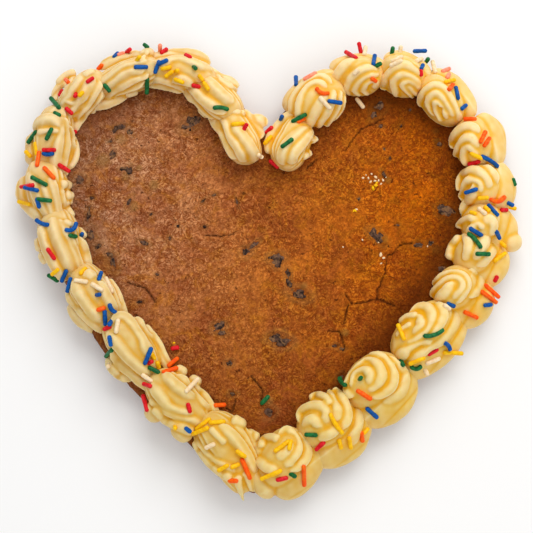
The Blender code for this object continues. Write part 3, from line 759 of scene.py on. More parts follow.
# %% Chip finish and chips
CHIP_RISE = 0.0005
CHIP_SINK = 0.0005
CHIP_SPREAD = 1.36
CHIP_ROUGH = 0.55
LUMP_DETAIL = 1.9

chocolate = Finish("chip_chocolate", 0.50, 0.12)
dull = chocolate.span(chocolate.noise(0.0026, 3.0, 1.0), 0.36, 0.64)
dark = chocolate.mix(dull, paint(36, 21, 16), paint(104, 74, 58))
filmed = chocolate.span(chocolate.noise(0.0024, 3.0, 1.5), 0.50, 0.62, 0.0, 0.62)
chocolate.colour(chocolate.mix(filmed, dark, paint(150, 108, 68)))
chocolate.normal(chocolate.bump(chocolate.noise(0.0007, 4.0), 0.0003))


def add_lump(bm, middle, size, turn, seed, detail=3):
    """An uneven lump: a sphere drawn out to a size, turned and roughened."""
    made = bmesh.ops.create_icosphere(bm, subdivisions=detail, radius=1.0)["verts"]
    spin = Matrix.Rotation(turn, 3, "Z")
    for vertex in made:
        rough = noise.fractal(vertex.co * LUMP_DETAIL + Vector((seed, 0.0, seed)), 0.8, 2.0, 3)
        shape = vertex.co * (1.0 + CHIP_ROUGH * rough)
        vertex.co = middle + spin @ Vector(tuple(a * b for a, b in zip(shape, size)))


def make_chips():
    """All chips as one mesh."""
    bm = bmesh.new()
    for number, (column, row, length, width, turned) in enumerate(CHIPS):
        middle, _ = look_down(cookie_tree, column, row)
        middle = middle - Vector((0.0, 0.0, CHIP_SINK))
        spread = CHIP_SPREAD * PIXEL_SIZE / 2.0
        size = (length * spread, width * spread, CHIP_RISE + CHIP_SINK)
        add_lump(bm, middle, size, math.radians(turned), 7.3 * number)
    return bm


chips = make_object("chips", make_chips(), chocolate.material)
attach(chips, ROOT)
print("chips:", len(CHIPS), "triangles:", triangles(chips))

# %% [markdown]
# ## Finish of the buttercream
# Buttercream is pale, and light goes in and comes out again a little way off, which makes thin edges glow.
# In the valleys and on steep flanks the colour is painted a deeper yellow, as painted shade; the crests are
# painted paler, as a painted highlight; and beside yellow and orange sprinkles the sugar has stained it. The
# mesh will carry these three numbers, and the colour follows them. Towards the point and the left of the cake
# the cream is painted a little darker, as painted shade where the light falls off away from the lamp.

# %% Cream finish
butter = Finish("buttercream", 0.45, 0.22)
butter.soften(0.20, (1.0, 0.62, 0.25), 0.0014)
shade = butter.span(butter.noise(0.011, 2.0, 0.5), 0.35, 0.65)
across = butter.span(butter.coordinate("X"), -0.060, 0.060)
deeper = butter.mix(across, paint(227, 184, 102), paint(237, 187, 78))
lighter = butter.mix(across, paint(234, 197, 122), paint(243, 200, 98))
# painted shade: the deeper yellow that valleys and steep flanks get
valley_shade_tone = butter.mix(across, paint(233, 171, 44), paint(240, 172, 0))
body = butter.mix(butter.carried("valley_shade", 1.0), butter.mix(shade, deeper, lighter), valley_shade_tone)
body = butter.mix(butter.carried("stain", 0.65), body, paint(244, 184, 26))
# painted highlight: the crests are coloured paler
tone = butter.mix(butter.carried("crest", 0.75), body, paint(253, 231, 182))
# painted shade: darker towards the point and the left, where the light falls off away from the lamp
low = butter.span(butter.coordinate("Y"), 0.020, -0.060)
far = butter.span(butter.coordinate("X"), 0.010, -0.070)
tone = butter.mix(low, tone, butter.tint(tone, 0.90, 0.91, 0.74))
butter.colour(butter.mix(far, tone, butter.tint(tone, 0.94, 0.93, 0.92)))
butter.rough(butter.span(butter.noise(0.003, 3.0), 0.3, 0.7, 0.36, 0.54))
butter.normal(butter.bump(butter.noise(0.0009, 3.0, 0.5), 0.00006))
print("nodes for the cream:", len(butter.tree.nodes))

# %% [markdown]
# ## Strokes of cream
# A piped stroke is a soft body with ridges from the teeth of the nozzle. Shells are pulled straight, each
# head over the last tail; swirls are piped in a curl. The body here is a smooth mound, and each ridge is a
# rope that is laid over it along its crest line in the photo. Body and ropes are then melted into one skin,
# which leaves round crests and crisp valleys, as cream has. The strokes follow each other round the rim.

# %% Places of the strokes
# Shells of the left half, from the cleft down to the tip, then the one right of the cleft:
# name, head x and y, tail x and y, sideways bend and width in mm
SHELLS = (
    ("shell_01", -9.3, 51.6, -20.0, 70.6, 0.5, 20.5),
    ("shell_02", -16.9, 69.2, -34.0, 86.0, 0.5, 21.5),
    ("shell_03", -28.0, 83.7, -53.5, 88.1, -1.0, 19.5),
    ("shell_04", -52.0, 87.8, -76.0, 79.0, 0.0, 19.5),
    ("shell_05", -75.6, 81.8, -90.7, 66.0, 0.0, 22.0),
    ("shell_06", -91.5, 66.2, -93.3, 40.0, -0.8, 23.5),
    ("shell_07", -96.3, 42.0, -93.3, 19.0, 0.0, 24.5),
    ("shell_08", -90.0, 20.8, -82.6, -4.0, -1.2, 23.5),
    ("shell_09", -78.3, -3.8, -66.5, -24.9, 0.0, 23.5),
    ("shell_10", -63.6, -24.5, -48.3, -44.3, 0.0, 23.0),
    ("shell_11", -44.8, -48.6, -26.6, -66.2, 0.0, 24.5),
    ("shell_12", -23.8, -66.7, -9.0, -92.5, 2.5, 27.0),
    ("shell_13", 7.2, 49.0, 14.8, 67.0, 0.0, 21.0),
)
# Swirls of the right half, from the cleft round to the tip: name, middle x and y, half length along
# the border, half width across it and outward reach of the skirt in mm
SWIRLS = (
    ("swirl_01", 20.8, 74.0, 12.8, 11.6, 1.5),
    ("swirl_02", 38.5, 85.0, 11.0, 9.4, 2.0),
    ("swirl_03", 57.4, 85.0, 10.4, 9.6, 3.0),
    ("swirl_04", 74.2, 73.9, 12.4, 9.0, 5.5),
    ("swirl_05", 87.3, 55.4, 11.3, 9.0, 7.0),
    ("swirl_06", 90.3, 35.9, 10.0, 9.2, 7.3),
    ("swirl_07", 90.1, 19.9, 9.2, 9.2, 7.8),
    ("swirl_08", 86.5, 6.8, 9.4, 9.6, 7.5),
    ("swirl_09", 78.8, -7.9, 10.8, 9.8, 9.0),
    ("swirl_10", 64.3, -26.2, 16.4, 10.6, 6.6),
    ("swirl_11", 43.4, -46.9, 14.0, 11.6, 8.4),
    ("swirl_12", 23.7, -63.8, 13.4, 11.8, 8.2),
    ("swirl_13", 5.4, -78.3, 13.4, 10.8, 7.0),
)
# Lobes of cream beside a stroke: stroke, middle x and y, half length and width in mm, turn
LOBES = (
    ("shell_04", -53.6, 95.2, 4.0, 3.3, 60),
    ("shell_11", -47.5, -59.1, 5.0, 4.6, 20),
    ("shell_11", -36.5, -67.5, 5.0, 4.0, -40),
    ("shell_12", -8.5, -83.5, 9.0, 4.6, -75),
    ("swirl_07", 102.5, 13.0, 5.5, 4.4, -5),
    ("swirl_13", -3.2, -88.0, 8.0, 5.0, -60),
    ("swirl_13", -3.0, -76.5, 5.5, 3.6, -70),
)
print("shells:", len(SHELLS), "swirls:", len(SWIRLS), "lobes:", len(LOBES))

# %% [markdown]
# ## The body of a shell
# A shell begins as a thick round head and is pulled off into a low narrow tail. A ball already is a closed
# body: the way from pole to pole becomes the way from head to tail, and the angle round the ball becomes
# the angle round the shell. Its flanks get shallow grooves, where the ropes don't reach.

# %% Bodies of the shells
GAP = 0.0003
CREAM_FLOOR = COOKIE_HEIGHT + GAP
FLOOR_SINK = 0.0010
HEAD_REACH = 0.27
HEAD_BLUNTNESS = 5.0
TAIL_BLUNTNESS = 9.0
TAIL_NARROWING = 0.36
TAIL_LOWERING = 0.50
TAPER_POWER = 1.6
BODY_HEIGHT = 0.0122
BODY_SHARE = 0.86
BODY_ROUNDNESS = 0.65
BODY_SIDES = 96
BODY_RINGS = 48
FLANK_RIDGES = 9
FLANK_GROOVE = 0.16
FLANK_START = 0.45
FLANK_FADE = 0.4
FOOT_FADE = 4.0


def plan(x, y):
    """A plan position in metres, from millimetres."""
    return Vector((x, y)) * MM


def groove(phase):
    """Depth between nozzle ridges: valleys at whole turns of the phase, round ridges between."""
    return 1.0 - math.sqrt(abs(math.sin(phase / 2.0)))


def shell_body(head, tail, bend, width):
    """The body of a shell: round head, high shoulder, low narrow tail, ridges on its flanks."""
    heading = (tail - head).normalized()
    across = Vector((-heading.y, heading.x))
    front = head - heading * width * HEAD_REACH
    elbow = (front + tail) / 2.0 + across * bend * 2.0
    bm = bmesh.new()
    bmesh.ops.create_uvsphere(bm, u_segments=BODY_SIDES, v_segments=BODY_RINGS, radius=1.0)
    for vertex in bm.verts:
        along, around = on_ball(vertex)
        spread = math.sqrt(1.0 - (1.0 - along) ** HEAD_BLUNTNESS) * math.sqrt(1.0 - along ** TAIL_BLUNTNESS)
        half = BODY_SHARE * width / 2.0 * spread * (1.0 - TAIL_NARROWING * along ** TAPER_POWER)
        high = BODY_HEIGHT * spread * (1.0 - TAIL_LOWERING * along ** TAPER_POWER)
        spine = front.lerp(elbow, along).lerp(elbow.lerp(tail, along), along)
        lift = math.sin(around)
        flank = ease((abs(math.cos(around)) - FLANK_START) / FLANK_FADE)
        grooved = flank * groove(FLANK_RIDGES * around * 2.0) * ease(lift * FOOT_FADE)
        scale = 1.0 - FLANK_GROOVE * grooved
        spot = spine + across * half * math.cos(around) * scale
        up = FLOOR_SINK * max(-1.0, lift * FOOT_FADE)
        if lift > 0.0:
            up = high * lift ** BODY_ROUNDNESS * scale
        vertex.co = (spot.x, spot.y, CREAM_FLOOR + up)
    return bm


print("height of a shell's body in mm:", round(BODY_HEIGHT / MM, 1))

# %% [markdown]
# ## The body of a swirl
# A swirl stands as a round mound, and the cream that it pushes outwards hangs over the cookie's rim as a
# smooth skirt. Both are low domes that bulge above the foot and tuck in below, so one function makes them,
# and the small lobes beside some strokes as well.

# %% Bodies of the swirls
DOME_SHARE = 0.93
SWIRL_BODY_HEIGHT = 0.0125
SKIRT_HEIGHT = 0.0080
SKIRT_LENGTH = 1.12
SKIRT_PLACE = (0.35, 0.55)
SKIRT_WIDTH = (0.60, 0.45)
MOUND_SHOULDER = 1.12
MOUND_FOOT_FADE = 6.0
MOUND_SIDES = 48
MOUND_RINGS = 32


def add_mound(bm, middle, half_length, half_width, height, turned):
    """A smooth rounded mound on the cream's floor."""
    made = bmesh.ops.create_uvsphere(bm, u_segments=MOUND_SIDES, v_segments=MOUND_RINGS, radius=1.0)
    spin = Matrix.Rotation(turned, 2)
    for vertex in made["verts"]:
        fall = math.acos(clamp(vertex.co.z, -1.0, 1.0)) / (math.pi / 2.0)
        turn = math.atan2(vertex.co.y, vertex.co.x)
        if fall < 1.0:
            up = height * math.cos(fall * math.pi / 2.0)
        else:
            up = -FLOOR_SINK * min(1.0, (fall - 1.0) * MOUND_FOOT_FADE)
        out = math.sin(min(1.0, fall * MOUND_SHOULDER) * math.pi / 2.0)
        if fall > 1.0:
            out = math.sin((2.0 - fall) * math.pi / 2.0)
        spot = Vector((half_length * out * math.cos(turn), half_width * out * math.sin(turn)))
        spot = spin @ spot + middle
        vertex.co = (spot.x, spot.y, CREAM_FLOOR + up)


def swirl_body(middle, heading, long_half, wide_half, skirt):
    """The body of a swirl: a round mound, with the smooth skirt that it pushes outwards below it."""
    outward = Vector((-heading.y, heading.x))
    turned = math.atan2(heading.y, heading.x)
    bm = bmesh.new()
    add_mound(bm, middle, long_half, wide_half * DOME_SHARE, SWIRL_BODY_HEIGHT, turned)
    out = wide_half * SKIRT_PLACE[0] + skirt * SKIRT_PLACE[1]
    half = wide_half * SKIRT_WIDTH[0] + skirt * SKIRT_WIDTH[1]
    add_mound(bm, middle + outward * out, long_half * SKIRT_LENGTH, half, SKIRT_HEIGHT, turned)
    return bm


print("height of a swirl's body in mm:", round(SWIRL_BODY_HEIGHT / MM, 1))

# %% [markdown]
# ## All the bodies
# Each swirl is turned along the border, towards the next one, and the last one towards the tip. A little
# soft noise moves every body, because no two strokes come out of a hand-held bag alike.

# %% Bodies with their lobes
LOBE_HEIGHT = 0.0070
TIP_X = -0.0050
UNEVEN = 0.0006
UNEVEN_GRAIN = 0.009


def stroke_bodies():
    """The bodies of all strokes by name, with their lobes."""
    bodies = {}
    for name, head_x, head_y, tail_x, tail_y, bend, width in SHELLS:
        bodies[name] = shell_body(plan(head_x, head_y), plan(tail_x, tail_y), bend * MM, width * MM)
    middles = [plan(row[1], row[2]) for row in SWIRLS] + [Vector((TIP_X, TIP.y))]
    for (name, _, _, long_half, wide_half, skirt), middle, ahead in zip(SWIRLS, middles, middles[1:]):
        heading = (ahead - middle).normalized()
        bodies[name] = swirl_body(middle, heading, long_half * MM, wide_half * MM, skirt * MM)
    for name, x, y, half_length, half_width, turned in LOBES:
        size = (half_length * MM, half_width * MM, LOBE_HEIGHT)
        add_mound(bodies[name], plan(x, y), *size, math.radians(turned))
    for bm in bodies.values():
        bmesh.ops.recalc_face_normals(bm, faces=bm.faces)
        for vertex in bm.verts:
            if vertex.co.z > CREAM_FLOOR:
                vertex.co += noise.noise_vector(vertex.co / UNEVEN_GRAIN) * UNEVEN
    return bodies


bodies = stroke_bodies()
print("bodies:", len(bodies))

# %% [markdown]
# ## Crest lines of the shells
# Each ridge is followed in the photo, from its round end to where it runs under the next stroke, as pixels
# of the picture. It is then as wide as the space beside it allows, and has a crest. Where a width in pixels
# stands before its places, or a list of the first and last width, the ridge is a round rope of that width,
# for folds, petals and spikes.

# %% Crest lines, shells
CRESTS = {
    "shell_01": (
        ((215, 120), (218, 127), (224, 136), (230, 147), (235, 157)),
        ((227, 126), (230, 136), (238, 146), (245, 160)),
        ((236, 129), (244, 140), (251, 150), (255, 160)),
        ((248, 118), (255, 128), (260, 138)),
        ((255, 117), (265, 124)),
        (8, (222, 114), (232, 112), (243, 114)),
    ),
    "shell_02": (
        ((189, 93), (196, 102), (205, 113), (212, 117)),
        ((195, 90), (204, 99), (214, 106), (224, 111)),
        ((209, 83), (216, 90), (224, 97), (231, 101)),
        ((212, 70), (219, 78), (227, 86), (236, 89)),
        ((213, 70), (221, 76), (230, 80), (237, 85)),
        ((200, 111), (206, 116)),
    ),
    "shell_03": (
        ((160, 55), (172, 52), (186, 52.5), (198, 55.5), (208, 62)),
        ((166, 64), (173, 59), (182, 59), (192, 62.5), (201, 66.5), (210, 68)),
        ((152, 79), (161, 79), (170, 82), (178, 86), (185, 90)),
        ((152, 84), (162, 86), (172, 89), (181, 92)),
        ((180, 78), (188, 80), (196, 84)),
    ),
    "shell_04": (
        ((107, 63), (116, 59), (127, 56.5), (140, 54.5)),
        ((103, 82), (111, 76), (119, 70), (125, 66), (133, 65), (144, 61)),
        ((109, 85), (117, 79), (124, 74), (132, 71), (142, 69)),
        ((112, 92), (121, 86), (130, 81), (139, 78), (146, 75)),
        ((98, 101), (110, 95), (122, 91), (133, 87), (142, 82)),
        ((96, 106.5), (108, 104), (119, 99.5), (128, 95)),
        (8, (128, 94), (135, 92)),
        (5, (143, 58), (147, 51)),
    ),
    "shell_05": (
        (8, (54, 98), (54, 91), (58, 85), (64, 82)),
        (9, (58, 81), (64, 75), (72, 71)),
        ((83, 73), (78.5, 81.5), (72.7, 91), (65, 101)),
        ((73, 76), (69.5, 84), (66, 94)),
        (8, (86, 74), (91, 71)),
        ((92, 79), (86, 88), (80, 99), (72, 110)),
        ((99, 83), (94.6, 93), (88, 104.6), (78, 116)),
        ((101, 93), (95, 103), (88, 111), (79, 124)),
        (5, (67, 101), (73, 103), (80, 101)),
        (6, (93, 111), (95, 107)),
    ),
    "shell_06": (
        ((34, 129), (37, 122), (45, 119.5), (53, 120), (58, 125)),
        ((33, 132), (31, 143), (31, 155)),
        ((60, 119), (61, 129), (59, 140), (56, 152), (55, 163)),
        ((65, 120), (66.5, 132), (66, 144), (64, 156), (61, 167)),
        ((70, 128), (72.5, 140), (71.5, 153), (68, 167)),
        (7, (74, 139), (77, 149), (76.5, 158), (72, 166)),
        (6, (40, 132), (48, 131), (56, 131)),
    ),
    "shell_07": (
        ((24, 178), (21, 188), (22, 197), (28, 205), (36, 213)),
        ((29, 174), (33, 182), (36, 190), (40, 200), (46, 212)),
        ((43, 184), (46, 193), (48, 203), (52, 215)),
        ((50, 180), (53, 190), (55.5, 201), (58, 213)),
        ((60, 189), (61.5, 199), (65, 207), (70, 217)),
        (10, (63, 184), (69, 185.5)),
        (11, (66, 195), (71, 198)),
        (7, (66, 203), (70, 202)),
        (10, (67, 210), (71.5, 216)),
    ),
    "shell_08": (
        ((43, 227), (44, 238), (48, 250), (54, 262), (60, 272)),
        ((52, 220), (56, 235), (62, 249), (68, 263)),
        ((60, 222), (66, 235), (71.5, 249), (77, 263)),
        ((71, 238), (76, 251), (81, 264)),
        ((79, 239), (84, 251), (87, 263)),
        (8, (37, 241), (38, 248)),
        (8, (41, 255), (44, 261)),
        (8, (66, 223), (73, 226)),
        (8, (80, 231), (84, 236)),
    ),
    "shell_09": (
        ((75, 282), (79, 292), (88, 305), (96, 315)),
        ((69, 292), (76, 304), (87, 316), (96, 325)),
        ((70, 307), (78, 318), (90, 327)),
        ((99, 283), (104, 294), (110, 305)),
        ((106, 280), (113, 293), (117, 305)),
        ((111, 281), (118, 293), (123, 308)),
        ((86, 276), (94, 275)),
    ),
    "shell_10": (
        ((109, 333), (118, 344), (129, 357), (144, 370)),
        ((113, 322), (117, 318), (125, 318), (133, 327), (141, 339), (145, 350)),
        ((136, 319), (145, 331), (155, 344), (163, 360)),
        ((147, 327), (158, 341), (166, 357)),
        ((113, 352), (123, 364), (135, 375), (148, 385)),
        ((109, 360), (117, 371), (124, 375)),
    ),
    "shell_11": (
        ((153, 385), (160, 395), (171, 407), (186, 412)),
        ((152, 399), (162, 408), (175, 415), (193, 420)),
        ((164, 375), (175, 386), (187, 395)),
        ((178, 377), (191, 390), (202, 403)),
        ((192, 385), (203, 395), (211, 406)),
        (12, (178, 370), (184, 373)),
        (12, (192, 380), (198, 383)),
        (12, (156, 409), (166, 419), (178, 425), (191, 431)),
    ),
    "shell_12": (
        (7, (212, 430), (223, 441)),
        ((221, 427), (235, 440), (245, 454), (252, 468)),
        ((230, 420), (239, 431), (248, 443), (256, 460)),
        (13, (234, 421), (242, 425)),
        (12, (249, 434), (256, 438)),
        ((244, 429), (251, 440), (257, 455), (262, 466)),
        ((196, 435), (203, 448), (215, 459), (230, 468)),
        ((197, 448), (207, 462), (221, 473)),
        (12, (197, 442), (206, 456), (216, 467), (230, 477)),
        ([11, 1.5], (237, 478), (240, 489), (243.5, 501)),
        ([9, 2], (246, 474), (249, 483), (251.5, 491)),
    ),
    "shell_13": (
        (12, (270, 152), (270, 142), (276, 131), (285, 121), (292, 116)),
        ((283, 163), (284, 151), (291, 141), (302, 131)),
        ((293, 162), (292, 155), (298, 146), (307, 135)),
        (8, (304, 156), (309, 154)),
        ((313, 142), (311, 136)),
    ),
}
print("crest lines on the shells:", sum(len(crests) for crests in CRESTS.values()))

# %% [markdown]
# ## Crest lines of the swirls
# The ridges of a swirl curl: they rise from the foot on the cookie's side, turn over the top and come back.

# %% Crest lines, swirls
CRESTS.update({
    "swirl_01": (
        ((292, 117), (292.7, 101.5), (297, 91.7), (305.4, 81.8), (316.7, 76.2), (323.7, 77.6), (329.4, 82)),
        ((301, 122), (299, 113), (299.7, 103), (303.3, 93), (309.6, 85.3), (318, 82.5), (324, 86)),
        ((308, 127), (312, 117), (318, 106), (325, 95)),
        ((317, 126), (324, 115), (330, 103), (333, 92)),
        ((326, 125), (334, 115), (339, 104), (340, 93)),
        ((334, 119), (341, 109), (344, 98)),
    ),
    "swirl_02": (
        ((350, 94), (348, 87), (351, 78), (359, 71), (368, 68), (375, 70)),
        ((360, 94), (355, 88), (359, 80), (368, 75), (377, 74)),
        ((368, 93), (363, 88), (366, 82), (373, 80), (377, 86)),
        ((335, 82), (339, 74), (345, 66), (353, 61)),
    ),
    "swirl_03": (
        ((383, 89), (387, 77), (396, 68), (404, 65), (412, 69), (418, 73)),
        ((398, 95), (395, 86), (395, 79), (402, 74), (411, 76), (420, 84)),
        ((413, 97), (404, 87), (403, 82), (409, 80), (416, 84), (420, 89)),
        ((418, 95), (412, 89), (409, 85)),
    ),
    "swirl_04": (
        ((421, 106), (422, 97), (429, 88), (437, 85), (446, 91), (453, 103), (460, 119)),
        ((434, 114), (429, 104), (432, 95), (438, 93), (445, 101), (453, 114)),
        ((441, 119), (436, 110), (437, 102), (443, 105)),
        ((447, 116), (445, 110)),
    ),
    "swirl_05": (
        ((452, 147), (455, 137), (461, 130), (470, 127), (477, 131)),
        ((456, 156), (459, 147), (465, 139), (472, 138), (477, 145)),
        ((468, 164), (464, 155), (466, 148), (471, 147), (476, 153)),
    ),
    "swirl_06": (
        ((458, 189), (460, 180), (466, 173), (475, 171), (484, 176), (489, 185)),
        ((485, 167), (492, 173), (496, 181)),
        ((461, 198), (463, 190), (467, 182), (474, 180), (480, 183), (481, 189)),
        ((463, 203), (469, 199), (474, 192), (475, 186)),
    ),
    "swirl_07": (
        ((463, 215), (465, 207), (470, 201)),
        ((460, 228), (463, 221), (470, 218), (476, 220)),
        ((486, 221), (490, 220), (493, 225), (491, 233)),
        ((470, 234), (476, 224), (482, 226)),
    ),
    "swirl_08": (
        (13, (450, 258), (453, 248), (460, 239)),
        ((465, 234), (469, 241), (469, 250), (466, 258)),
        ((487, 233), (483, 245), (475, 257)),
        ((495, 247), (487, 257), (479, 264)),
    ),
    "swirl_09": (
        ((433, 284), (443, 275), (454, 272), (464, 275), (469, 284), (465, 293), (458, 301)),
        ((471, 271), (479, 276), (480, 286), (471, 295)),
        ((432, 296), (437, 287), (446, 280), (455, 277), (462, 281), (462, 288), (455, 296)),
        ((436, 300), (445, 293), (452, 285)),
    ),
    "swirl_10": (
        (8, (402, 321), (408, 317), (415, 315.5)),
        ((412, 312), (419, 308), (427, 307.5), (432, 313), (431.5, 321), (427, 330), (419, 337), (410, 343)),
        ((437, 304), (442, 310), (442, 318), (437, 327), (430, 335)),
        ((450, 306), (455.5, 313), (455.5, 322), (449, 332), (440, 341), (428, 348), (417, 355), (408, 361)),
        ((430, 340), (418, 343), (407, 350), (398, 358)),
        ((414, 317), (420, 318), (421, 325), (416, 332)),
        (6, (398, 334), (403, 329), (409, 325)),
    ),
    "swirl_11": (
        ((352, 384), (355, 374), (363, 370), (370, 374), (371, 382)),
        ((362, 361), (371, 360), (378, 366), (381, 375), (378, 383), (371, 389)),
        ((370, 355), (383, 357), (391, 366), (393.5, 376), (391, 386), (384, 392), (374, 396)),
        ((391, 358), (400, 368), (404.5, 378), (403, 388), (397, 395), (385, 400.5)),
        ((346, 385), (350, 376), (357, 367), (365, 361)),
        ((345, 391), (352, 394)),
    ),
    "swirl_12": (
        (9, (312, 398), (318, 395.5), (325, 397.5), (329, 403)),
        ((300, 420), (303, 412), (311, 407), (320, 406.5), (326, 412), (326, 421)),
        ((329, 391), (333, 400), (336.5, 409), (336, 418)),
        ((335, 390), (341.5, 398), (346, 408), (346.5, 418), (342, 427)),
        ((352, 402), (356.5, 412), (357.5, 424), (354.5, 434), (351, 443)),
        ((304, 425), (312, 420), (320, 424)),
        ((320, 437), (330, 433), (338, 427)),
    ),
    "swirl_13": (
        (9, (262, 446), (264, 440), (270.8, 437.5), (277, 439)),
        ((280.6, 434.5), (287.7, 431.2), (296, 436.8), (299, 445.3), (294.7, 455), (286, 463.6)),
        ((300, 435), (304.6, 442.4), (306.5, 452.3), (301.8, 462.2), (292, 469.2)),
        ((280, 457), (287, 452.5), (290.5, 445)),
        ((258, 458), (266, 466), (276, 470)),
    ),
})
print("crest lines in all:", sum(len(crests) for crests in CRESTS.values()))

# %% [markdown]
# ## From a few places to a line and its width
# A smooth curve through the few places of a crest is walked in even steps, so every rope has as many rings
# as the next one. Neighbouring ridges press against each other: half the distance to the nearest other
# crest, and a little more, gives the half width at each step, and averaging makes it change softly.

# %% Lines and widths of ropes
RIDGE_SIDES = 20
RIDGE_RINGS = 40
CURVE_STEPS = 8
NARROWEST = 3.4
WIDEST = {"shell": 7.2, "swirl": 6.2}
OVERLAP = {"shell": 0.85, "swirl": 0.69}
WIDTH_EVENING = 6


def curve_through(points, steps):
    """Evenly spaced places on a smooth line through a few points."""
    ends = [points[0] * 2.0 - points[1]] + points + [points[-1] * 2.0 - points[-2]]
    fine = []
    for a, b, c, d in zip(ends, ends[1:], ends[2:], ends[3:]):
        for step in range(CURVE_STEPS):
            t = step / CURVE_STEPS
            fine.append(0.5 * (2.0 * b + (c - a) * t + (2.0 * a - 5.0 * b + 4.0 * c - d) * t * t
                               + (3.0 * b - 3.0 * c + d - a) * t * t * t))
    fine.append(points[-1])
    line = np.array([tuple(p) for p in fine])
    reach = np.concatenate(([0.0], np.cumsum(np.linalg.norm(np.diff(line, axis=0), axis=1))))
    goals = np.linspace(0.0, reach[-1], steps)
    places = np.stack([np.interp(goals, reach, line[:, k]) for k in range(3)], axis=1)
    return [Vector(p) for p in places], reach[-1]


def room_beside(pixels, others, kind):
    """Half width in pixels that lets a ridge just overlap its neighbours, at each place along it."""
    nearest = np.full(len(pixels), 2.0 * WIDEST[kind])
    for other in others:
        gap = np.hypot(pixels[:, None, 0] - other[None, :, 0], pixels[:, None, 1] - other[None, :, 1])
        nearest = np.minimum(nearest, gap.min(1))
    half = np.clip(nearest * OVERLAP[kind], NARROWEST, WIDEST[kind])
    for _ in range(WIDTH_EVENING):
        padded = np.concatenate((half[:1], half, half[-1:]))
        half = (padded[:-2] + padded[1:-1] * 2.0 + padded[2:]) / 4.0
    return half


print("places on each line:", RIDGE_RINGS + 1)

# %% [markdown]
# ## Ropes
# A rope is a ball whose rings are drawn out along a line, so it is closed and has round ends. At each step
# the line gives three directions: ahead, aside and upward. The same directions shape the sprinkles further
# on. A rope with a crest rises to a soft edge along its middle, as cream does between two teeth of the
# nozzle.

# %% A rope along a line
RIDGE_TALL = 0.64
ROPE_TALL = 0.92
CREST_POWER = {"shell": 1.6, "swirl": 2.3}
UNDER_SHARE = 0.5
END_LOWEST = 0.45
END_RISE = 0.35
RIDGE_UNEVEN = 0.08
RIDGE_GRAIN = 0.006
TAPER = 1.7
END_REACH = 0.0014
UPRIGHT = 0.01


def directions(places, step):
    """Ahead, aside and upward at a step of a line."""
    ahead = (places[min(len(places) - 1, step + 1)] - places[max(0, step - 1)]).normalized()
    aside = ahead.cross(Vector((0.0, 0.0, 1.0)))
    aside = aside.normalized() if aside.length > UPRIGHT else Vector((1.0, 0.0, 0.0))
    return ahead, aside, aside.cross(ahead)


def from_end(along, length, radius, taper=1.0):
    """Distance to the nearer end of a rope, in radii, and how full the round end is there."""
    end = min(along, 1.0 - along) * (length + 2.0 * radius) / (radius * taper)
    return end, math.sqrt(1.0 - (1.0 - min(1.0, end)) ** 2)


def add_rope(bm, places, halves, seed, power):
    """A rope with round ends: a ball drawn out along a line, with a crest on top if a power is given."""
    length = sum((b - a).length for a, b in zip(places, places[1:]))
    made = bmesh.ops.create_uvsphere(bm, u_segments=RIDGE_SIDES, v_segments=RIDGE_RINGS, radius=1.0)
    for vertex in made["verts"]:
        along, around = on_ball(vertex)
        step = round(along * RIDGE_RINGS)
        radius = halves[step]
        ahead, aside, upward = directions(places, step)
        end, full = from_end(along, length, radius, TAPER if power else 1.0)
        full *= 1.0 + RIDGE_UNEVEN * noise.noise(Vector((along * length / RIDGE_GRAIN, seed, 0.0)))
        stretch = (along - 0.5) * 2.0 * min(radius, END_REACH)
        side = math.cos(around)
        high = math.sin(around) * ROPE_TALL
        if power:
            high = RIDGE_TALL * (1.0 - abs(side) ** power) if high > 0.0 else high * UNDER_SHARE
            high *= min(1.0, END_LOWEST + END_RISE * end)
        vertex.co = places[step] + ahead * stretch + (aside * side + upward * high) * radius * full


print("vertices in one rope:", RIDGE_SIDES * (RIDGE_RINGS - 1) + 2)

# %% [markdown]
# ## Laying the ropes
# Each place of a crest line is followed down its line of sight to the body, so from the camera the ropes
# lie just where the photo shows them. Where a petal lies beside its body, the cookie's top carries it. The
# long ridges of a shell run on a little past the tail, down to where the next head covers them.

# %% Ropes on a stroke
TAIL_RUN = 0.0035
TAIL_DROP = 0.0015
TAIL_BACK = 6
TAIL_STEP = 8
LONG_RIDGE = 0.007
ROPE_EVENING = 6
BESIDE_LIFT = 0.7
TAILS = {row[0]: plan(row[3], row[4]) for row in SHELLS}


def split_crest(crest):
    """The places of a crest line, and its first and last width if they are given."""
    width = crest[0]
    if isinstance(width, tuple):
        return crest, None
    if isinstance(width, list):
        return crest[1:], width
    return crest[1:], [width, width]


def on_body(body, pixels, halves):
    """The places where lines of sight meet a body, or the cookie beside it."""
    line = []
    for (column, row), half in zip(pixels, halves):
        place, _ = look_down(body, column, row, -1.0)
        if place.z < 0.0:
            place, _ = look_down(cookie_tree, column, row, COOKIE_HEIGHT)
            place.z += half * PIXEL_SIZE * BESIDE_LIFT
        line.append(place)
    return line


def run_on(line, halves, tail):
    """The line and its widths, turned to end at the tail and drawn on past it."""
    if (line[0].xy - tail).length < (line[-1].xy - tail).length:
        line.reverse()
        halves = halves[::-1]
    ahead = (line[-1] - line[-TAIL_BACK]).normalized()
    onward = ahead * TAIL_RUN - Vector((0.0, 0.0, TAIL_DROP))
    line, _ = curve_through(line[::TAIL_STEP] + [line[-1] + onward], RIDGE_RINGS + 1)
    return line, halves


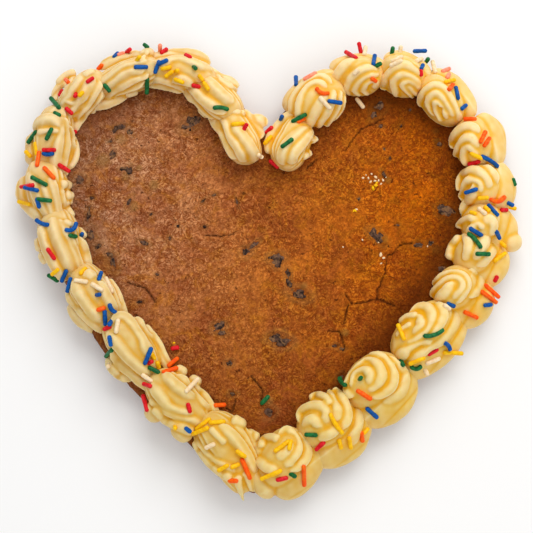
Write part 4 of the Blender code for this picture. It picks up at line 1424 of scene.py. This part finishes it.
def add_ridges(bm, name):
    """Lays the ropes of a stroke along its crest lines."""
    kind = name[:5]
    body = BVHTree.FromBMesh(bm)
    crests = [split_crest(crest) for crest in CRESTS[name]]
    flat = []
    for crest, _ in crests:
        line, _ = curve_through([Vector((column, row, 0.0)) for column, row in crest], RIDGE_RINGS + 1)
        flat.append(np.array([tuple(point[:2]) for point in line]))
    for number, (pixels, (_, widths)) in enumerate(zip(flat, crests)):
        halves = room_beside(pixels, flat[:number] + flat[number + 1:], kind)
        if widths:
            halves = np.linspace(*widths, len(pixels)) / 2.0
        line = on_body(body, pixels, halves)
        run = sum((b - a).length for a, b in zip(line, line[1:]))
        if name in TAILS and run > LONG_RIDGE and not widths:
            line, halves = run_on(line, halves, TAILS[name])
        for _ in range(ROPE_EVENING):
            evened = [(a + b * 2.0 + c) / 4.0 for a, b, c in zip(line, line[1:], line[2:])]
            line = [line[0]] + evened + [line[-1]]
        power = 0.0 if widths else CREST_POWER[kind]
        add_rope(bm, line, halves * PIXEL_SIZE, 3.1 * number + len(name), power)


print("shells with tails:", len(TAILS))

# %% [markdown]
# ## Melting each stroke into one skin
# The voxel remesh lays one closed skin round a body and all its ropes, as real cream has one skin. It
# leaves small steps, which averaging every vertex with its neighbours takes away. The same averaging, done
# many times, gives a much smoother copy to measure the valleys against.

# %% Melting and averaging
VOXEL = 0.00042
SMOOTH_ROUNDS = 2
SMOOTH_STRENGTH = 0.6


def melt(obj, size):
    """Replaces the mesh by one skin round everything in it."""
    remesh = obj.modifiers.new("melt", "REMESH")
    remesh.mode = "VOXEL"
    remesh.voxel_size = size
    graph = bpy.context.evaluated_depsgraph_get()
    melted = bpy.data.meshes.new_from_object(obj.evaluated_get(graph))
    obj.modifiers.remove(remesh)
    old = obj.data
    obj.data = melted
    bpy.data.meshes.remove(old)


def edge_ends(mesh):
    """The two vertex numbers of every edge."""
    ends = np.empty(2 * len(mesh.edges), np.int32)
    mesh.edges.foreach_get("vertices", ends)
    return ends.reshape(-1, 2)


def averaged(places, ends, rounds, strength=1.0):
    """The places after moving each one towards the middle of its neighbours, several times."""
    count = len(places)
    first = np.concatenate((ends[:, 0], ends[:, 1]))
    second = np.concatenate((ends[:, 1], ends[:, 0]))
    number = np.maximum(np.bincount(first, minlength=count), 1)[:, None]
    for _ in range(rounds):
        total = np.stack([np.bincount(first, places[second, k], count) for k in range(3)], axis=1)
        places = places + (total / number - places) * strength
    return places


print("voxel in mm:", VOXEL / MM, "rounds of smoothing:", SMOOTH_ROUNDS)

# %% [markdown]
# ## Finished strokes
# A melted stroke is smoothed, made slightly uneven and bent down where it hangs over the cookie's rim. Two
# smoother copies then tell, on a narrow and on a wide scale, where the skin lies in valleys and where on a
# crest. The finish paints the valleys a deeper yellow as painted shade, and the crests paler as a painted
# highlight. Steep flanks get the painted shade too, because little light gets between two strokes.

# %% Finished strokes
DROOP = 0.35
DROOP_CURVE = 30.0
DROOP_LIMIT = 0.004
SKIN_UNEVEN = 0.00016
SKIN_GRAIN = 0.0035
NARROW_ROUNDS = 8
WIDE_ROUNDS = 90
NARROW_DEPTH = 0.00014
WIDE_DEPTH = 0.0011
NARROW_SHARE = 0.9
WIDE_SHARE = 0.6
FLANK_SHARE = 0.48
FLANK_FROM = 0.80


def finish_stroke(obj):
    """Smooths, loosens and droops a melted stroke; stores its painted valley shade and crest highlight."""
    mesh = obj.data
    ends = edge_ends(mesh)
    places = averaged(read_points(mesh), ends, SMOOTH_ROUNDS, SMOOTH_STRENGTH)
    loose = np.array([tuple(noise.noise_vector(Vector(p) / SKIN_GRAIN)) for p in places])
    places += loose * SKIN_UNEVEN
    outside = np.clip(-depth_inside(places[:, 0], places[:, 1]), 0.0, None)
    places[:, 2] -= np.minimum(DROOP_LIMIT, outside * DROOP + DROOP_CURVE * outside ** 2)
    write_points(mesh, places)
    normals = np.empty(3 * len(mesh.vertices), np.float32)
    mesh.vertices.foreach_get("normal", normals)
    normals = normals.reshape(-1, 3)
    narrow = ((averaged(places, ends, NARROW_ROUNDS) - places) * normals).sum(1)
    wide = ((averaged(places, ends, WIDE_ROUNDS) - places) * normals).sum(1)
    flank = np.clip((FLANK_FROM - normals[:, 2]) / FLANK_FROM, 0.0, 1.0)
    # painted shade: valleys and steep flanks are coloured a deeper yellow in the finish
    valley_shade = np.clip(narrow / NARROW_DEPTH, 0.0, 1.0) * NARROW_SHARE
    valley_shade += np.clip(wide / WIDE_DEPTH, 0.0, 1.0) * WIDE_SHARE
    valley_shade += FLANK_SHARE * flank
    write_values(mesh, "valley_shade", np.clip(valley_shade, 0.0, 1.0))
    # painted highlight: the crests are coloured paler in the finish
    write_values(mesh, "crest", np.clip(-narrow / NARROW_DEPTH, 0.0, 1.0))


strokes = []
for name, body in bodies.items():
    add_ridges(body, name)
    stroke = make_object("piped_" + name, body)
    melt(stroke, VOXEL)
    finish_stroke(stroke)
    stroke.data.materials.clear()
    stroke.data.materials.append(butter.material)
    stroke.data.shade_smooth()
    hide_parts(name)
    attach(stroke, ROOT)
    strokes.append(stroke)
print("stroke triangles:", sum(triangles(stroke) for stroke in strokes))

# %% [markdown]
# ## Sprinkles
# Every sprinkle is a short rod of coloured sugar with round ends, and they lie as they fell. A random
# scatter would be shorter to write, but would be another cake. So each one is placed by its pixel in the
# photo, with its length and its turn. The very short ones stick in the cream nearly on end.

# %% Sprinkle places
# column, row, length in pixels, turn in degrees and, for a curved one, how far its middle bows out in pixels
SPRINKLES = {
    "blue": (
        (116, 55, 9, 42), (141, 67, 15, 0), (157, 67, 15, 70), (163, 62, 12, 25), (48, 154, 13, 0, -1),
        (31, 189, 17, -13), (38, 203, 12, -75), (42, 223, 16, -22, -1), (72, 228, 16, 33, -3),
        (81, 236, 7, 80),
        (64, 276, 15, 66), (69, 285, 17, 75), (100, 276, 11, 70), (97, 295, 6, 0), (112, 309, 13, -52, -1),
        (105, 318, 17, -87), (111, 322, 7, -45), (110, 341, 12, -80), (148, 356, 20, 67), (188, 430, 9, -40),
        (281, 119, 5, 0), (296, 81, 12, -88), (335, 102, 16, -9), (374, 60, 13, 80), (420, 51, 15, 2),
        (422, 67, 8, 65), (457, 93, 15, -78), (464, 107, 9, 40), (490, 161, 22, -32, 1), (471, 191, 15, 18),
        (508, 203, 6, -30), (493, 210, 17, -48), (476, 232, 17, -32), (498, 235, 11, -65), (488, 305, 10, 6),
        (451, 305, 10, -22), (448, 346, 12, -52, 1), (372, 413, 17, -42),
    ),
    "green": (
        (146, 46, 8, -40), (147, 86, 18, 88), (107, 88, 11, -52), (55, 103, 17, -50), (57, 114, 9, -25),
        (32, 137, 17, 54), (49, 134, 15, 63), (39, 181, 20, -28), (44, 200, 17, -6), (73, 236, 10, -10),
        (53, 278, 14, -32), (109, 353, 13, 48), (154, 370, 14, -27), (194, 67, 6, 0), (221, 108, 17, -6, 1),
        (299, 118, 18, 27), (287, 143, 16, 36), (265, 400, 13, 47), (376, 66, 5, 0), (392, 53, 6, 35),
        (426, 62, 7, 48), (514, 182, 9, -70), (475, 240, 22, -48, 1), (483, 254, 16, -1),
        (434, 334, 23, 18, -2), (416, 368, 13, 0, -2), (402, 363, 9, -60), (360, 379, 7, 0),
        (342, 382, 13, -52, -1), (311, 435, 14, -3),
        (291, 474, 6, 0),
    ),
    "red": (
        (164, 51, 10, 35), (128, 51, 6, 5), (90, 80, 10, 35), (61, 93, 9, 60), (76, 94, 7, -60),
        (69, 111, 11, -43), (75, 132, 6, 80), (49, 150, 15, 0), (64, 168, 15, -32), (27, 186, 16, 9),
        (51, 254, 15, -55), (107, 328, 10, 26), (149, 363, 7, 60), (147, 385, 11, -18), (145, 403, 19, -75),
        (189, 408, 11, -75), (175, 348, 9, 10), (282, 479, 13, 12), (320, 446, 14, 44), (188, 56, 9, -28),
        (196, 86, 10, -12), (244, 129, 7, 85), (269, 130, 11, 43), (274, 164, 13, -40), (351, 55, 16, -30),
        (360, 48, 13, -77), (421, 73, 8, -85), (474, 163, 14, 15), (504, 210, 9, 0), (433, 352, 13, 31),
        (496, 279, 8, 65),
    ),
    "orange": (
        (100, 67, 9, 45), (67, 81, 8, -50), (38, 159, 17, 80), (49, 173, 18, -47), (101, 309, 10, 18),
        (173, 362, 15, 40), (170, 370, 18, 17), (220, 405, 13, 3), (246, 469, 24, -67), (233, 481, 11, 0),
        (304, 476, 23, 92), (301, 120, 10, 32), (322, 92, 16, -22, -2), (374, 80, 8, -33), (451, 87, 10, 50),
        (470, 119, 14, 0), (483, 137, 15, 64), (487, 142, 13, 56), (498, 200, 18, 10, -3),
        (492, 291, 22, -42),
        (489, 297, 22, -37), (471, 315, 17, -25), (364, 395, 19, -32), (362, 437, 12, -82),
    ),
    "yellow": (
        (137, 60, 6, -20), (81, 94, 8, 45), (36, 149, 15, -82), (28, 154, 10, -47), (24, 203, 15, -14),
        (55, 272, 11, 40), (83, 271, 11, 45), (153, 356, 9, -60), (158, 365, 9, -70), (203, 424, 20, 37),
        (217, 422, 18, 5), (200, 431, 20, 22), (175, 427, 7, 10), (223, 468, 14, 30), (235, 466, 11, 25),
        (241, 454, 13, -33), (282, 446, 21, 35), (290, 445, 12, 78), (271, 475, 25, 23),
        (336, 424, 26, -57, -1),
        (340, 444, 12, -75), (350, 443, 14, -80), (366, 431, 9, 48), (401, 332, 19, -67), (453, 353, 22, -3),
        (417, 361, 19, 22), (500, 257, 17, 36), (501, 243, 6, -60), (483, 198, 12, 3), (473, 213, 8, -20),
        (487, 209, 9, -45), (510, 207, 5, 0), (476, 156, 15, -25), (450, 81, 13, 14), (166, 68, 12, 12),
        (169, 74, 12, 37), (179, 81, 12, -22), (176, 71, 7, 0), (201, 78, 9, -55), (206, 86, 11, -55),
        (238, 124, 15, 5), (268, 140, 13, 48),
    ),
    "white": (
        (81, 281, 15, -8), (97, 287, 15, -32), (109, 285, 19, -66), (117, 326, 16, 80), (109, 365, 6, 0),
        (147, 378, 14, -35), (192, 385, 21, 47), (210, 446, 12, 25), (325, 103, 18, -48), (360, 103, 14, -52),
        (365, 51, 12, 80), (356, 72, 9, 43), (397, 59, 14, 27), (396, 63, 15, 25), (419, 60, 10, 25),
        (434, 67, 15, -75), (482, 211, 12, -40), (447, 307, 10, -38), (433, 361, 17, 22), (425, 370, 7, -80),
        (264, 136, 7, -15), (260, 156, 8, -35), (400, 52, 7, 80),
    ),
    "peach": (
        (160, 49, 7, 80), (121, 54, 9, 20), (310, 76, 16, 29), (446, 70, 11, 22), (448, 76, 8, 60),
    ),
}
print("sprinkles:", sum(len(rows) for rows in SPRINKLES.values()))

# %% [markdown]
# ## How a sprinkle rests
# A sprinkle is straight and hard, while the cream below it is ridged. Five places along its middle line are
# followed down their lines of sight to the cream. A place over a valley is lifted until it is level with
# its neighbours, so the rod bridges valleys and touches ridges. The lift goes along the line of sight, so
# from the camera the sprinkle stays where the photo has it.

# %% Resting places
ROD_RADIUS = 0.00094
ROD_SINK = 0.20
ROD_STEPS = 5
END_SLOPE = 0.4
BOW_MIDDLE = 0.5
SHORT = 7.5
STANDING_LENGTH = 0.0042
STANDING_TILT = 0.55
STANDING_PLACES = (-0.6, 0.2, 1.0)


def standing_line(tree, column, row, turn):
    """Places along a sprinkle that sticks in the cream, leaning in the direction of its turn."""
    middle, normal = look_down(tree, column, row)
    lean = (RIGHT * math.cos(turn) + UPWARD * math.sin(turn)) * STANDING_TILT
    rod = (normal + lean).normalized() * STANDING_LENGTH / 2.0
    return [middle + rod * share for share in STANDING_PLACES]


def line_in_photo(column, row, half, turn, bow):
    """Pixels along a lying sprinkle's middle line."""
    pixels = []
    for step in range(ROD_STEPS):
        share = step / (ROD_STEPS - 1) * 2.0 - 1.0
        out = bow * (BOW_MIDDLE - share * share)
        across = math.cos(turn) * half * share - math.sin(turn) * out
        down = -math.sin(turn) * half * share - math.cos(turn) * out
        pixels.append((column + across, row + down))
    return pixels


def rest_line(tree, column, row, length, turned, bow):
    """Places along a sprinkle's middle line, resting on what lies under it."""
    turn = math.radians(turned)
    if length < SHORT:
        return standing_line(tree, column, row, turn)
    half = length / 2.0 - ROD_RADIUS / PIXEL_SIZE
    pixels = line_in_photo(column, row, half, turn, bow)
    floor_heights = [look_down(tree, *pixel)[0].z for pixel in pixels]
    heights = list(floor_heights)
    steepest = 2.0 * half * PIXEL_SIZE / (ROD_STEPS - 1)
    for _ in range(ROD_STEPS):
        for i in range(ROD_STEPS):
            near = [heights[j] for j in (i - 1, i + 1) if 0 <= j < ROD_STEPS]
            allowed = 0.0 if len(near) == 2 else steepest * END_SLOPE
            heights[i] = max(floor_heights[i], sum(near) / len(near) - allowed)
    lift = ROD_RADIUS * (1.0 - 2.0 * ROD_SINK)
    return [on_sight(*pixel, height + lift) for pixel, height in zip(pixels, heights)]


print("a sprinkle's thickness in mm:", round(2.0 * ROD_RADIUS / MM, 2))

# %% [markdown]
# ## The rods
# A rod is made like a rope of cream: a ball drawn out along the line, with the same three directions at
# each step. All sprinkles of one colour are one piece, because they share one finish.

# %% Rods of one colour
ROD_SIDES = 12
ROD_RINGS = 18
ROD_UNEVEN = 0.10
ROD_WAVES = 4.0


def make_sprinkles(tree, rows):
    """All sprinkles of one colour as one mesh."""
    bm = bmesh.new()
    for number, (column, row, length, turned, *bow) in enumerate(rows):
        line = rest_line(tree, column, row, length, turned, bow[0] if bow else 0.0)
        places, reach = curve_through(line, ROD_RINGS + 1)
        made = bmesh.ops.create_uvsphere(bm, u_segments=ROD_SIDES, v_segments=ROD_RINGS, radius=1.0)
        for vertex in made["verts"]:
            along, around = on_ball(vertex)
            step = round(along * ROD_RINGS)
            ahead, aside, upward = directions(places, step)
            _, full = from_end(along, reach, ROD_RADIUS)
            full *= 1.0 + ROD_UNEVEN * noise.noise(Vector((along * ROD_WAVES, number, 0.5)))
            stretch = (along - 0.5) * 2.0 * ROD_RADIUS
            out = aside * math.cos(around) + upward * math.sin(around)
            vertex.co = places[step] + ahead * stretch + out * ROD_RADIUS * full
    return bm


print("vertices in one rod:", ROD_SIDES * (ROD_RINGS - 1) + 2)

# %% [markdown]
# ## Coloured sugar
# The colours are printed on the sugar a little unevenly, so each finish mixes a deeper and a paler shade.
# Light goes a short way into sugar, and its shine is dull.

# %% Sprinkle finishes and pieces
SUGAR = {
    "blue": (paint(0, 74, 146), paint(0, 90, 172)),
    "green": (paint(10, 88, 44), paint(30, 116, 60)),
    "red": (paint(206, 10, 24), paint(232, 32, 42)),
    "orange": (paint(252, 82, 0), paint(255, 108, 8)),
    "yellow": (paint(246, 182, 0), paint(255, 202, 6)),
    "white": (paint(242, 212, 164), paint(250, 228, 190)),
    "peach": (paint(252, 136, 104), paint(255, 162, 130)),
}


def sugar_finish(name, deep, pale):
    """Coloured sugar: slightly mottled, with a dull shine and a fine grain."""
    finish = Finish("sugar_" + name, 0.42, 0.18)
    finish.soften(0.08, (0.8, 0.6, 0.5), 0.0004)
    finish.colour(finish.mix(finish.span(finish.noise(0.0012, 3.0), 0.4, 0.6), deep, pale))
    finish.rough(finish.span(finish.noise(0.0008), 0.3, 0.7, 0.28, 0.5))
    finish.normal(finish.bump(finish.noise(0.0004, 2.0), 0.00004))
    return finish.material


ground = surface_tree([cookie] + strokes)
for colour, rows in SPRINKLES.items():
    finish = sugar_finish(colour, *SUGAR[colour])
    piece = make_object("sprinkles_" + colour, make_sprinkles(ground, rows), finish)
    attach(piece, ROOT)
    print(colour, "sprinkles:", len(rows))

# %% [markdown]
# ## Stains in the cream
# Sugar colours run in damp cream. Round the yellow and orange sprinkles the photo shows a deeper yellow, so
# every vertex of the strokes gets a number for how near such a sprinkle is.

# %% Stains round the yellow and orange sprinkles
STAIN_REACH = 0.0038
warm_rows = SPRINKLES["yellow"] + SPRINKLES["orange"]
warm = [look_down(ground, row[0], row[1])[0] for row in warm_rows]
for stroke in strokes:
    places = read_points(stroke.data)
    stain = np.zeros(len(places))
    for spot in warm:
        away = np.linalg.norm(places - np.array(spot), axis=1)
        stain = np.maximum(stain, np.exp(-(away / STAIN_REACH) ** 2))
    write_values(stroke.data, "stain", stain)
print("places that stain the cream:", len(warm))

# %% [markdown]
# ## Crumbs
# A few crumbs of sugar and dried cream lie on the cookie, most of them in one small heap. Each crumb is a
# tiny uneven lump, made in the same way as the chips but with fewer faces, and flatter than it is wide.

# %% Crumbs on the cookie
# column, row and width in pixels
CRUMBS = {
    "white": (
        (363, 178, 2.8), (368.5, 178.2, 2.4), (370.5, 181.8, 3.0), (375.8, 177.3, 3.4), (378.6, 180.5, 2.4),
        (375, 181, 2.8), (383, 180.2, 2.6), (381, 184, 2.2), (371.5, 174, 2.0), (380.7, 254.9, 4.2),
        (383.7, 258, 2.8), (362.5, 240, 2.0), (378.5, 242.4, 2.0), (343, 247, 1.8), (427.5, 246.3, 1.8),
        (381, 263.5, 2.0), (366, 175, 1.6), (386, 177.5, 1.6), (356.6, 209.4, 2.2),
    ),
    "yellow": (
        (375.8, 185.5, 4.4), (373.2, 188.4, 4.0), (376.5, 183, 3.0), (355.3, 210.6, 3.2), (353.6, 211, 2.2),
        (174, 343, 2.6),
    ),
}
CRUMB_SHARE = 0.85
CRUMB_SHAPE = (1.25, 0.85, 0.7)
CRUMB_LIFT = 0.3


def make_crumbs(rows):
    """All crumbs of one colour as one mesh."""
    bm = bmesh.new()
    for number, (column, row, width) in enumerate(rows):
        middle, _ = look_down(cookie_tree, column, row)
        half = CRUMB_SHARE * width * PIXEL_SIZE / 2.0
        size = [half * share for share in CRUMB_SHAPE]
        middle = middle + Vector((0.0, 0.0, half * CRUMB_LIFT))
        add_lump(bm, middle, size, 1.9 * number, 5.7 * number + 2.0, 2)
    return bm


for colour, rows in CRUMBS.items():
    crumbs = make_object("crumbs_" + colour, make_crumbs(rows), bpy.data.materials["sugar_" + colour])
    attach(crumbs, ROOT)
    print(colour, "crumbs:", len(rows))

# %% [markdown]
# ## Floor and light
# The floor is a plain pale table. A large soft lamp above the upper right of the picture stands for a
# window and leaves soft shadows on the near sides of the ridges. A weaker lamp at the lower right and the
# bright surroundings fill them.

# %% Floor, lamps and surroundings
FLOOR_SIZE = 3.0
SURROUNDINGS = 0.60
floor_mesh = bmesh.new()
bmesh.ops.create_grid(floor_mesh, x_segments=1, y_segments=1, size=FLOOR_SIZE)
pale = Finish("pale_floor", 0.9, 0.1)
pale.colour(pale.mix(pale.noise(0.3), paint(246, 246, 246), paint(250, 250, 250)))
floor = make_object("floor", floor_mesh, pale.material)


def add_lamp(name, place, size, power, colour):
    """A square lamp that shines at the cake."""
    data = bpy.data.lights.new(name, "AREA")
    data.size = size
    data.energy = power
    data.color = colour
    lamp = bpy.data.objects.new(name, data)
    bpy.context.scene.collection.objects.link(lamp)
    lamp.location = place
    lamp.rotation_euler = (AIM - Vector(place)).to_track_quat("-Z", "Y").to_euler()


add_lamp("window", (0.20, 0.74, 0.80), 0.85, 7.4, (1.0, 0.99, 0.97))
add_lamp("fill", (0.45, -0.9, 1.1), 1.2, 4.1, (1.0, 0.98, 0.96))

world = bpy.data.worlds.new("surroundings")
bpy.context.scene.world = world
world.use_nodes = True
background = world.node_tree.nodes["Background"]
background.inputs["Color"].default_value = (1.0, 1.0, 1.0, 1.0)
background.inputs["Strength"].default_value = SURROUNDINGS
bpy.context.scene.view_settings.view_transform = "Standard"
print("lamps:", len(bpy.data.lights))
